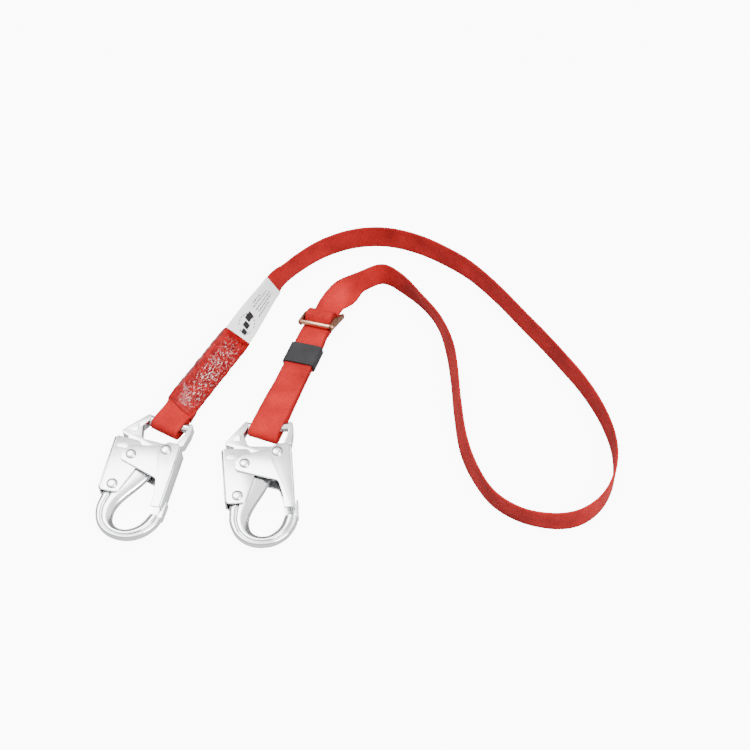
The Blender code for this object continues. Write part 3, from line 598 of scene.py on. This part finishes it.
LONG_WEB_ROUTE = (
    (-111.3, 97.7, 16.6), (-108.0, 104.5, 16.6), (-103.2, 113.5, 16.2), (-96.5, 122.5, 15.6),
    (-82.0, 138.5, 15.4), (-59.0, 157.5, 15.4), (-32.0, 171.0, 15.4), (-5.0, 176.5, 15.4),
    (21.0, 174.5, 15.4), (49.0, 164.5, 15.4), (77.0, 147.5, 15.4), (102.5, 126.5, 15.4),
    (129.0, 94.5, 15.4), (153.5, 59.0, 15.4), (172.0, 32.5, 15.4), (189.5, 5.5, 15.4),
    (206.5, -23.0, 15.4), (219.5, -52.0, 15.4), (227.5, -80.0, 15.4), (230.0, -105.0, 15.4),
    (226.5, -130.0, 15.4), (217.0, -152.0, 15.4), (202.5, -168.5, 15.4), (183.5, -178.5, 15.4),
    (160.5, -180.0, 15.4), (134.0, -173.0, 15.4), (110.5, -155.5, 15.4), (95.0, -128.0, 15.4),
    (85.0, -94.0, 15.4), (81.0, -50.0, 15.4), (79.5, -12.0, 15.4), (76.0, 22.0, 15.4),
    (66.5, 56.0, 15.4), (50.0, 84.0, 15.4), (28.0, 110.0, 15.4), (9.0, 122.6, 15.4),
    (-10.5, 114.5, 15.4), (-24.0, 103.0, 15.4), (-33.6, 96.0, 14.2), (-40.8, 90.2, 12.0),
    (-45.6, 84.5, 10.3), (-47.8, 79.9, 9.7),
)
LONG_WEB_TURN = ((0.0, 73.4), (0.0075, 74.0), (0.03, 90.0), (0.55, 92.0), (0.62, 84.0), (0.72, 98.0),
                 (0.8, 98.0), (0.875, 80.0), (0.915, 90.0), (0.95, 96.0), (1.0, 192.0))


def long_web(look):
    """The free strap, on edge round its wide arc and lying down into the adjuster."""
    curve, run = resampled(smooth_curve(LONG_WEB_ROUTE, 12), 2.5)
    onward = (curve[-1] - curve[-2]) / np.linalg.norm(curve[-1] - curve[-2])
    curve = np.vstack([curve, [curve[-1] + onward * step for step in (0.15, 1.0, 2.0)]])
    run = np.concatenate([run, run[-1] + np.array([0.15, 1.0, 2.0])])
    along = np.gradient(curve, axis=0)
    left = np.stack([-along[:, 1], along[:, 0], np.zeros(len(along))], 1)
    left /= np.linalg.norm(left, axis=1, keepdims=True)
    roll = np.radians([ease(LONG_WEB_TURN, at / run[-1]) for at in run])[:, None]
    across = left * np.cos(roll) + UP * np.sin(roll)
    made = strap("long_strap", curve, across, look, ("long_web",), ripple=0.35, tuck=3)
    return run[-1]


make_camera()
make_studio()
RED_DEEP, RED_MIDDLE, RED_BRIGHT = (0.22, 0.004, 0.004), (0.36, 0.008, 0.008), (0.47, 0.014, 0.013)
red = web_look("red_webbing", RED_DEEP, RED_MIDDLE, RED_BRIGHT)
long_web(red)

PACK_HEADING = math.radians(29.4)
LABEL_HEADING = math.radians(25.5)
PACK_START, WRAP_LENGTH, WRAP_WALL = 26.0, 100.0, 0.6
TEAR_LAYERS, TEAR_LENGTH = 3, 66.0
LABEL_LENGTH = 71.0
PACK_ROLL, LABEL_ROLL = math.radians(50.0), math.radians(74.0)
PACK_HEIGHT, PACK_CLEARANCE = 17.6, 0.6
WRAP_END = PACK_START + WRAP_LENGTH


def pack_frame(s):
    """Centre, width and face directions of the run from hook a's crossbar to the label's far end."""
    along, left = heading(PACK_HEADING)
    roll = ease(((9.0, 0.0), (PACK_START + 12, PACK_ROLL), (WRAP_END, PACK_ROLL),
                 (WRAP_END + LABEL_LENGTH, LABEL_ROLL)), s)
    height = ease(((4.0, HOOK_Z), (PACK_START + 8, PACK_HEIGHT), (WRAP_END, PACK_HEIGHT),
                   (WRAP_END + LABEL_LENGTH, 16.7)), s)
    middle = np.array([*EYE["a"], height]) + along * min(s, WRAP_END)
    if s > WRAP_END:
        along, left = heading(LABEL_HEADING)
        middle = middle + along * (s - WRAP_END)
    return middle, left * math.cos(roll) + UP * math.sin(roll), UP * math.cos(roll) - left * math.sin(roll)


def hook_loop(look):
    """Loop round hook a's crossbar, both legs running into the wrap."""
    radius, past = 6.0, 4.0
    leg_end = PACK_START + 12
    together = WEB_THICK / 2 + GAP / 2
    apart = ((2.0, radius), (PACK_START - 2, together), (leg_end, together))
    along, _ = heading(PACK_HEADING)
    middles, acrosses = [], []
    places = np.linspace(leg_end, -past, 44)
    for s in places:
        middle, across, face = pack_frame(s)
        middles.append(middle + face * ease(apart, s))
        acrosses.append(across)
    middle, across, face = pack_frame(-past)
    for angle in np.linspace(0, math.pi, 18)[1:-1]:
        middles.append(middle + face * (radius * math.cos(angle)) - along * (radius * math.sin(angle)))
        acrosses.append(across)
    for s in places[::-1]:
        middle, across, face = pack_frame(s)
        middles.append(middle - face * ease(apart, s))
        acrosses.append(across)
    strap("hook_strap_loop", middles, acrosses, look, ("hook_loop_a",))


def pack_web(look):
    """The strap that runs out of the pack and through the label."""
    stations = [pack_frame(s) for s in np.linspace(WRAP_END - 12, WRAP_END + LABEL_LENGTH - 8, 44)]
    strap("pack_strap", [p[0] for p in stations], [p[1] for p in stations], look, ("pack_web",))


def sleeve_ring(half_width, half_thick, count=64):
    """Superellipse ring |x/a|^p + |y/b|^p = 1 with flat faces, as (across, deep, share) rows."""
    angles = np.linspace(0, 2 * math.pi, count, endpoint=False)
    c, s = np.cos(angles), np.sin(angles)
    x = np.sign(c) * np.abs(c) ** 0.32 * half_width
    y = np.sign(s) * np.abs(s) ** 0.32 * half_thick
    return np.column_stack([x, y, x / half_width])


def sleeve(name, stations, wall, look, stands_for, slot, body="webbing", wobble=None, count=64, skew=(0, 0)):
    """Open ended tube: an outer and an inner skin, C(s) + x W(s) + y N(s) over a rounded flat ring,
    joined at the lips. A wobble scales the outer skin's ring. Its ends are cut askew: a point at share w
    of the half width moves along by k w, with k eased from each end's skew to none in the middle."""
    outer, inner, uv_out, uv_in = [], [], [], []
    run = 0.0
    along = np.gradient(np.array([station[0] for station in stations]), axis=0)
    along /= np.linalg.norm(along, axis=1, keepdims=True)
    slide = np.interp(np.linspace(0, 1, len(stations)), (0, 0.4, 0.6, 1), (skew[0], 0, 0, skew[1]))
    for i, (middle, across, face, half_width, half_thick) in enumerate(stations):
        if i:
            run += float(np.linalg.norm(middle - stations[i - 1][0]))
        for grow, grid, uvs in ((wall, outer, uv_out), (0.0, inner, uv_in)):
            ring = sleeve_ring(half_width + grow, half_thick + grow, count)
            if wobble is not None and grow:
                ring = ring.copy()
                ring[:, :2] *= 1 + wobble(run, ring)[:, None]
            lean = along[i] * (slide[i] * ring[:, 2:3])
            grid.append(middle + across * ring[:, 0:1] + face * ring[:, 1:2] + lean)
            uvs.append(np.column_stack([ring[:, 2] / 2 + 0.5, np.full(count, run * MM)]))
    points, faces = skin(outer + inner[::-1], along=True)
    return piece(name, points, outward(points, faces), look, body, stands_for, slot,
                 uv=np.concatenate(uv_out + uv_in[::-1]))


def wrap(look):
    """Shrunk film: thick over the folded web, pinched where the straps come out, puckered all over."""
    layers = (TEAR_LAYERS * WEB_THICK + (TEAR_LAYERS - 1) * GAP) / 2 + PACK_CLEARANCE
    near, far = WEB_THICK + GAP / 2 + PACK_CLEARANCE + 0.3, WEB_THICK / 2 + PACK_CLEARANCE
    margin = (WRAP_LENGTH - TEAR_LENGTH) / 2
    table = ((PACK_START - 12, 5.0), (PACK_START, near), (PACK_START + margin - 3, layers),
             (WRAP_END - margin + 3, layers), (WRAP_END, far))
    stations = []
    for s in np.linspace(PACK_START - 8, WRAP_END - 4.5, 160):
        stations.append((*pack_frame(s), WEB_WIDTH / 2 + PACK_CLEARANCE, ease(table, s)))

    def pucker(run, ring):
        """Fine creases of the shrunk film, fading out at both ends."""
        x, y = ring[:, 0], ring[:, 1]
        wave = np.sin(run / 2.3 + 2.2 * np.sin(x / 3.1)) * np.sin(x / 1.9 + 1.4 * np.sin(run / 4.7))
        fold = np.abs(np.sin(run / 5.9 + x / 4.3 + np.sin(y)))
        middle = math.sin(math.pi * min(max(run / WRAP_LENGTH, 0.0), 1.0)) ** 0.5
        return (0.022 * wave - 0.014 * fold) * middle

    sleeve("shrunk_wrap", stations, WRAP_WALL, look, ("shrink_wrap",), "clear_film", wobble=pucker, count=112,
           skew=(3.75, -4.5))


def label(look, ink):
    """The white label sleeve with its plain bars and blocks."""
    start = WRAP_END - 6.5
    ends = WRAP_END + LABEL_LENGTH + 1.5
    half_width, half_thick, wall = WEB_WIDTH / 2 + 0.25, WEB_THICK / 2 + 0.2, 0.3
    stations = [(*pack_frame(s), half_width, half_thick) for s in np.linspace(start, ends, 60)]
    sleeve("label_sheet_sleeve", stations, wall, look, ("label_sleeve",), "label", skew=(-4.5, -4.5))
    parts = []

    def mark(s0, s1, x0, x1):
        """Thin printed patch on the label's upper face, following its twist."""
        grid = []
        for s in np.linspace(s0, s1, max(2, int((s1 - s0) / 2) + 2)):
            middle, across, face = pack_frame(s)
            row = []
            for deep in (0.0, 0.06):
                lift = face * (half_thick + wall - 0.02 + deep)
                ends_at = (x0, x1) if deep == 0.0 else (x1, x0)
                row += [middle + across * x + lift for x in ends_at]
            grid.append(row)
        points, faces = skin(grid)
        faces = faces + [tuple(range(4)), tuple(range(len(points) - 4, len(points)))[::-1]]
        parts.append((points, outward(points, faces)))

    for row, (across_at, first, last) in enumerate(((9.5, 42, 68), (5.8, 39, 66), (1.0, 40, 69),
                                                    (-3.0, 42, 70), (-6.8, 38, 62))):
        s, word = start + first, 0
        while s < start + last:
            long = min(1.6 + 2.2 * abs(math.sin(row * 2.1 + word * 1.7)), start + last - s)
            mark(s, s + long, across_at - 0.62, across_at + 0.62)
            s += long + 0.8
            word += 1
    base = start + 12.0
    mark(base + 11.0, base + 21.0, -1.0, 6.5)
    mark(base + 3.0, base + 9.8, -4.0, 3.5)
    mark(base - 4.0, base + 1.8, -6.0, 0.5)
    for k, angle in enumerate(np.radians(np.linspace(-70, 250, 17))):
        if k % 6 != 5:
            s, x = base + 8.0 + 11.5 * math.cos(angle), 9.5 * math.sin(angle)
            mark(s - 1.3, s + 1.3, x - 0.5, x + 0.5)
    points, faces = joined(parts)
    piece("label_print", points, faces, ink, "webbing", slot="label")


hook_loop(red)
pack_web(red)
wrap(film_look())
label(label_look(), ink_look())

STRAND_HEADING, ADJUSTER_HEADING = math.radians(20.0), math.radians(24.0)
STRAND_LEAN, ADJUSTER_LEAN = math.radians(8.0), math.radians(12.0)
KEEPER_AT, KEEPER_LENGTH, KEEPER_WALL, KEEPER_CLEARANCE = 95.0, 25.0, 1.8, 0.4
STRAND_LOW, STRAND_HIGH = 6.0, 11.4
ADJUSTER_AT, BAR_PITCH = 134.0, 11.8
FRONT_BAR_RADIUS, CENTRE_BAR_RADIUS, REAR_BAR_RADIUS = 2.8, 3.0, 2.0
CHEEK_THICK, CHEEK_CLEARANCE, CENTRE_BAR_HEIGHT = 3.2, 1.2, 13.6
BEND_START, BEND_END = 113.0, 126.0
FRONT_BAR_HEIGHT = STRAND_HIGH + WEB_THICK / 2 + GAP + FRONT_BAR_RADIUS
CENTRE_BAR_AT = ADJUSTER_AT + BAR_PITCH
REAR_BAR_AT = CENTRE_BAR_AT + BAR_PITCH
LEAVE_HEIGHT = 9.9
REAR_BAR_HEIGHT = LEAVE_HEIGHT - WEB_THICK / 2 - GAP - REAR_BAR_RADIUS
SEWN_RADIUS = CENTRE_BAR_RADIUS + GAP + WEB_THICK / 2
OVER_RADIUS = SEWN_RADIUS + WEB_THICK + GAP
LOOP_RADIUS, LOOP_PAST = 6.0, 7.5


def strand_frame(s):
    """Place on the floor, width and face directions of the strands, at a distance from hook b's bar."""
    share = min(max((s - BEND_START) / (BEND_END - BEND_START), 0.0), 1.0)
    turn = STRAND_HEADING + (ADJUSTER_HEADING - STRAND_HEADING) * share
    place = np.array([*EYE["b"], 0.0]) + heading(STRAND_HEADING)[0] * min(s, BEND_START)
    place = place + heading((STRAND_HEADING + turn) / 2)[0] * ((BEND_END - BEND_START) * share)
    place = place + heading(ADJUSTER_HEADING)[0] * max(s - BEND_END, 0.0)
    _, left = heading(turn)
    lean = ease(((12.0, 0.0), (75.0, STRAND_LEAN), (BEND_START, STRAND_LEAN), (BEND_END, ADJUSTER_LEAN)), s)
    return place, left * math.cos(lean) - UP * math.sin(lean), UP * math.cos(lean) + left * math.sin(lean)


def adjuster_web(look):
    """The doubled strap: sewn end, round the centre bar, out along the lower strand, round hook b's
    crossbar, back along the upper strand and over the centre bar."""
    centre = (CENTRE_BAR_AT, CENTRE_BAR_HEIGHT)
    layer = WEB_THICK + GAP
    under = STRAND_HIGH - layer
    tail = np.array([(ADJUSTER_AT - 5, under - layer), (ADJUSTER_AT + 4, under - layer),
                     (CENTRE_BAR_AT - 5, CENTRE_BAR_HEIGHT - SEWN_RADIUS - 0.9)])
    sewn = arc(centre, SEWN_RADIUS, -90, 130, 22)
    drop = np.array([(ADJUSTER_AT + 4, under + 0.8), (ADJUSTER_AT - 1, under),
                     (ADJUSTER_AT - 9, STRAND_LOW + 0.6), (BEND_START, STRAND_LOW)])
    lower = smooth_curve([drop[-1], (60, STRAND_LOW), (30, STRAND_LOW + 1.2), (8, HOOK_Z - LOOP_RADIUS),
                          (-LOOP_PAST, HOOK_Z - LOOP_RADIUS)], 14)
    turn = arc((-LOOP_PAST, HOOK_Z), LOOP_RADIUS, 270, 90, 20)
    upper = smooth_curve([turn[-1], (8, HOOK_Z + LOOP_RADIUS), (32, STRAND_HIGH + 4.2), (60, STRAND_HIGH),
                          (BEND_START, STRAND_HIGH)], 14)
    climb = np.array([(ADJUSTER_AT - 6, STRAND_HIGH), (ADJUSTER_AT, STRAND_HIGH),
                      (ADJUSTER_AT + 2.2, STRAND_HIGH + 0.4)])
    over = arc(centre, OVER_RADIUS, 160, -8, 26)
    leave = np.array([(REAR_BAR_AT - 4.6, LEAVE_HEIGHT + 0.5), (REAR_BAR_AT - 2, LEAVE_HEIGHT),
                      (REAR_BAR_AT + 4.5, LEAVE_HEIGHT)])
    line = np.vstack([tail, sewn, drop[:-1], lower[:-1], turn, upper[1:], climb, over, leave])
    line, _ = resampled(line, 1.3)
    middles, acrosses = [], []
    for s, height in line:
        place, across, face = strand_frame(s)
        middles.append(place + face * height)
        acrosses.append(across)
    middles = np.array(middles)
    smooth = middles.copy()
    for _ in range(2):
        smooth[1:-1] = (smooth[:-2] + 2 * smooth[1:-1] + smooth[2:]) / 4
    return strap("adjuster_strap", smooth, acrosses, look, ("adjuster_web",))


def hub_place():
    """Turn and place of the adjuster's frame: x to the right, y along the strap, z from its face."""
    place, across, face = strand_frame(ADJUSTER_AT)
    along, _ = heading(ADJUSTER_HEADING)
    return np.column_stack([-across, along, face]), place


def adjuster(look, shaded_cheek_look):
    """The adjuster: two cheek plates, and bars whose ends sit in them."""
    inside = WEB_WIDTH / 2 + CHEEK_CLEARANCE
    outside = inside + CHEEK_THICK
    cheek = rounded([(-4.2, 16.0, 3.0), (-2.4, 12.0, 2.4), (2 * BAR_PITCH + 0.6, 4.4, 1.8),
                     (2 * BAR_PITCH + 3.2, 9.2, 2.2), (BAR_PITCH, 18.0, 6.0), (-1.6, 19.2, 2.6)])
    parts = []
    for side in (-1, 1):
        low, high = sorted((side * inside, side * outside))
        points, faces = slab(cheek, low, high, 1.1)
        points = points[:, [2, 0, 1]]
        parts.append((points, outward(points, faces)))
    points, faces = joined(parts)
    place = hub_place()
    # The cheeks wear a darker copy of the bars' yellow zinc: painted shade
    piece("adjuster_cheeks", points, faces, shaded_cheek_look, "webbing", ("adjuster_frame",), "yellow_zinc", place)
    reach = outside - 0.4
    parts = []
    parts.append(tube((-reach - 1.4, 0, FRONT_BAR_HEIGHT), (reach + 1.4, 0, FRONT_BAR_HEIGHT),
                      FRONT_BAR_RADIUS, round_by=1.6))
    parts.append(tube((-reach, 2 * BAR_PITCH, REAR_BAR_HEIGHT), (reach, 2 * BAR_PITCH, REAR_BAR_HEIGHT),
                      REAR_BAR_RADIUS))
    points, faces = joined(parts)
    piece("adjuster_cross_bars", points, faces, look, "webbing", (), "yellow_zinc", place)
    bar = tube((-outside, BAR_PITCH, CENTRE_BAR_HEIGHT), (outside, BAR_PITCH, CENTRE_BAR_HEIGHT),
               CENTRE_BAR_RADIUS, round_by=0.8)
    piece("adjuster_roller", *bar, look, "webbing", ("adjuster_bar",), "yellow_zinc", place)


def keeper(look):
    """The keeper loop: a flat sleeve round both strands."""
    low = STRAND_LOW - WEB_THICK / 2 - KEEPER_CLEARANCE
    high = STRAND_HIGH + WEB_THICK / 2 + KEEPER_CLEARANCE
    stations = []
    for s in KEEPER_AT + KEEPER_LENGTH * np.linspace(-0.5, 0.5, 24):
        place, across, face = strand_frame(s)
        lip = 0.35 * max(0.0, abs(s - KEEPER_AT) / (KEEPER_LENGTH / 2) - 0.9) / 0.1
        stations.append((place + face * ((low + high) / 2), across, face,
                         WEB_WIDTH / 2 + KEEPER_CLEARANCE - lip * 0.0, (high - low) / 2))
    sleeve("keeper_loop", stations, KEEPER_WALL, look, ("web_keeper",), "black_rubber", "keeper")


adjuster_web(red)
# Same yellow zinc plate on bars and cheeks; the cheeks' far darker, rougher copy is painted shade
adjuster(bronze_look("yellow_zinc_bar", (0.42, 0.19, 0.10), (0.86, 0.50, 0.33), 0.22),
         bronze_look("yellow_zinc_cheek_shaded", (0.12, 0.045, 0.025), (0.34, 0.16, 0.10), 0.42))
keeper(rubber_look())


# --- Hooks ------------------------------------------------------------------------------------------


def hook_place(side):
    """A hook's turn and its bowl centre, worked out from its eye."""
    c, s = math.cos(TURN[side]), math.sin(TURN[side])
    turn = np.array([[c, -s, 0.0], [s, c, 0.0], [0.0, 0.0, 1.0]])
    return turn, np.array([*EYE[side], HOOK_Z]) + turn @ np.array([0.0, -EYE_REACH, 0.0])


# Matched points down the bowl's outer and inner edges, from the nose to the spine
BOWL_OUTER = ((33.4, 3.2), (33.6, 0.5), (31.2, -8.0), (24.5, -18.2), (13.5, -25.8), (0.0, -28.3),
              (-13.0, -25.6), (-23.5, -17.4), (-29.6, -5.0), (-30.9, 6.0), (-30.8, 18.0), (-30.8, 30.0),
              (-30.8, 42.0), (-30.8, 54.0), (-30.8, 62.0))
BOWL_INNER = ((20.7, 3.2), (20.0, 0.5), (17.2, -7.6), (12.2, -13.9), (5.6, -17.8), (-1.0, -18.2),
              (-6.6, -15.6), (-10.3, -10.4), (-11.8, -2.0), (-10.3, 6.5), (-6.4, 15.8), (-0.9, 26.2),
              (4.0, 36.5), (7.4, 46.0), (10.5, 54.0))
# Forged section: share of the width from the outer edge, and share of the half thickness
FLUTE = ((0.0, 0.0), (0.012, 0.30), (0.045, 0.56), (0.10, 0.70), (0.18, 0.76), (0.27, 0.74), (0.31, 0.66),
         (0.345, 0.68), (0.38, 0.90), (0.43, 0.985), (0.52, 1.0), (0.62, 0.99), (0.70, 0.93), (0.80, 0.82),
         (0.89, 0.70), (0.95, 0.54), (0.985, 0.32), (1.0, 0.0))


def bowl():
    """(points, faces) of the forged bowl: outer + t (inner - outer) across, and plus or minus z(t) through,
    with the flute's z(t) swept from the nose to the spine."""
    outer, inner = smooth_curve(BOWL_OUTER, 9), smooth_curve(BOWL_INNER, 9)
    grid = []
    for a, b in zip(outer, inner):
        upper = [(*(a + (b - a) * t), HOOK_HALF * z) for t, z in FLUTE]
        lower = [(*(a + (b - a) * t), -HOOK_HALF * z) for t, z in FLUTE[1:-1]]
        grid.append(upper + lower[::-1])
    points, faces = skin(grid)
    count = len(grid[0])
    faces = faces + [tuple(range(count)), tuple(range(len(points) - count, len(points)))[::-1]]
    return points, outward(points, faces)


def eye_outline():
    """Outline of the plate between the spine and the eye, with its two posts."""
    eye = rounded([(-30.8, 50.0, 0.0), (-30.8, 77.5, 0.0), (-38.3, 80.0, 1.2), (-39.6, 83.0, 1.5),
                   (-21.5, 107.8, 2.0), (-18.2, 107.8, 0.9), (-18.4, 101.5, 2.0), (-22.3, 93.0, 4.0),
                   (-17.5, 79.0, 5.0), (15.5, 79.0, 6.0), (20.2, 94.0, 4.0), (20.4, 107.8, 0.9),
                   (25.0, 107.8, 3.5), (25.6, 96.0, 3.0), (24.4, 82.5, 1.5), (19.6, 78.4, 0.0)])
    return np.vstack([eye, arc(GATE_PIVOT, 8.9, 35.0, -60.0, 14), [(9.5, 52.0)], [(7.5, 50.0)]])


def rivet_profile(shank, head, under):
    """Domed heads past both ends of a stack of half thickness under."""
    top = under + HEAD_HEIGHT
    dome = [(head * math.cos(a) ** 0.6, under + 0.3 + (HEAD_HEIGHT - 0.3) * math.sin(a))
            for a in np.linspace(0, math.pi / 2 * 0.97, 12)]
    upper = [(shank, 0.0), (shank, under), (head - 0.3, under)] + dome + [(0.0, top)]
    return [(r, -z) for r, z in upper[:0:-1]] + upper


def wall_along(start, end, thick, low, high, end_round):
    """Back wall of a bent plate: a slab whose outer side runs from start to end."""
    start, end = np.array(start, float), np.array(end, float)
    along = (end - start) / np.linalg.norm(end - start)
    normal = np.array([along[1], -along[0]]) * thick
    outline = rounded([(*start, 0.3), (*end, 0.3), (*(end - normal), 0.3), (*(start - normal), 0.3)], 3)
    return slab(outline, low, high, end_round)


def hook(side, steel, spring):
    """One snap hook: forging, gate, lever, rivets and springs."""
    place = hook_place(side)
    body, gate_body, lever_body = "hook_" + side, "gate_" + side, "lever_" + side
    wing = rounded([(-33.5, 84.2, 1.2), (-24.6, 84.2, 1.0), (-25.6, 93.4, 1.6), (-26.8, 94.2, 0.6)], 5)
    parts = [bowl(), slab(eye_outline(), -HOOK_HALF, HOOK_HALF, 0.7),
             tube((-21.0, EYE_REACH, 0.0), (23.4, EYE_REACH, 0.0), 4.5, round_by=1.2),
             slab(wing, HOOK_HALF - 0.4, HOOK_HALF + 0.55, 0.5),
             slab(rounded([(29.3, 0.6, 0.5), (31.0, 19.0, 0.5), (33.0, 19.2, 0.5), (34.0, 1.6, 0.8)], 4),
                  -4.6, 4.6, 0.5)]
    points, faces = joined(parts)
    piece("forging_" + side, points, faces, steel, body, ("hook_body_" + side,), "zinc_steel", place)

    top = GATE_INSIDE + PLATE
    outline = rounded([(22.5, 80.0, 3.0), (28.9, 9.2, 1.0), (20.4, 8.4, 1.5), (18.8, 22.0, 8.0),
                       (13.8, 38.0, 5.0), (-10.4, 44.6, 8.0), (-27.6, 49.4, 4.5), (-28.4, 60.0, 6.0),
                       (-22.0, 66.6, 5.0), (4.0, 73.5, 8.0), (11.0, 79.8, 4.0)])
    parts = [slab(outline, GATE_INSIDE, top, 0.55), slab(outline, -top, -GATE_INSIDE, 0.55),
             wall_along((22.9, 76.5), (28.8, 10.0), PLATE, -top, top, 0.55)]
    points, faces = joined(parts)
    piece("gate_plate_" + side, points, faces, steel, gate_body, ("gate_" + side,), "zinc_steel", place)

    top = LEVER_INSIDE + PLATE
    outline = rounded([(-41.0, 74.6, 2.0), (-33.2, 13.4, 3.0), (-15.6, 14.8, 5.0), (-9.0, 44.0, 4.0),
                       (-10.0, 62.0, 5.0), (-16.0, 74.6, 6.0)])
    arch = arc((-31.0, 63.6), 6.3, -14, 194, 26)
    parts = [slab(outline, LEVER_INSIDE, top, 0.5), slab(outline, -top, -LEVER_INSIDE, 0.5),
             wall_along((-33.5, 15.8), (-40.6, 72.8), PLATE, -top, top, 0.5),
             slab(arch, top - 0.3, top + 0.28, 0.5)]
    points, faces = joined(parts)
    piece("lever_plate_" + side, points, faces, steel, lever_body, ("lock_lever_" + side,),
          "zinc_steel", place)

    for name, at, shank, head, under, rides in (
            ("gate_rivet", GATE_PIVOT, 3.0, 5.3, STACK, body),
            ("tail_pin", TAIL_PIN, 2.4, 5.0, STACK, gate_body),
            ("lever_rivet", LEVER_PIVOT, 3.0, 5.3, LEVER_INSIDE + PLATE + GAP, body)):
        points, faces = turned(rivet_profile(shank, head, under))
        points = points + np.array([*at, 0.0])
        piece(f"{name}_dome_{side}", points, faces, steel, rides, (f"{name}_{side}",), "zinc_steel", place)
    for name in ("gate_spring_", "lever_spring_"):
        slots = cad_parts[name + side].data.materials
        if len(slots):
            slots[0] = spring
        else:
            slots.append(spring)


zinc = steel_look("zinc_plate", (0.93, 0.94, 0.95), 0.2)
spring_steel = steel_look("spring_wire", (0.5, 0.5, 0.52), 0.3)
hook("a", zinc, spring_steel)
hook("b", zinc, spring_steel)
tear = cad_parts["tear_webbing"].data.materials
tear_look = Look("folded_tear_web", 0.8)
weave = tear_look.noise(1400.0, 2.0)
tear_look.set("Base Color", tear_look.ramp(weave, [(0.3, (0.3, 0.015, 0.014)), (0.7, (0.48, 0.03, 0.026))]))
tear_look.bump(weave, 0.3, 0.0004)
if len(tear):
    tear[0] = tear_look.material
else:
    tear.append(tear_look.material)


def floor():
    """Pale floor that rises smoothly to a wall far behind: z = 0 to y = 3 m, then a quarter circle."""
    profile = [(-4.0, 0.0), (3.0, 0.0)]
    profile += [(3.0 + math.sin(a), 1.0 - math.cos(a)) for a in np.linspace(0, math.pi / 2, 17)[1:]]
    profile.append((4.0, 4.0))
    points = [(x, y, z) for y, z in profile for x in (-5.0, 5.0)]
    faces = [(2 * i, 2 * i + 1, 2 * i + 3, 2 * i + 2) for i in range(len(profile) - 1)]
    mesh = bpy.data.meshes.new("floor")
    mesh.from_pydata(points, [], faces)
    mesh.materials.append(floor_look())
    mesh.shade_smooth()
    made = bpy.data.objects.new("floor", mesh)
    bpy.context.scene.collection.objects.link(made)


floor()
bpy.context.view_layer.update()
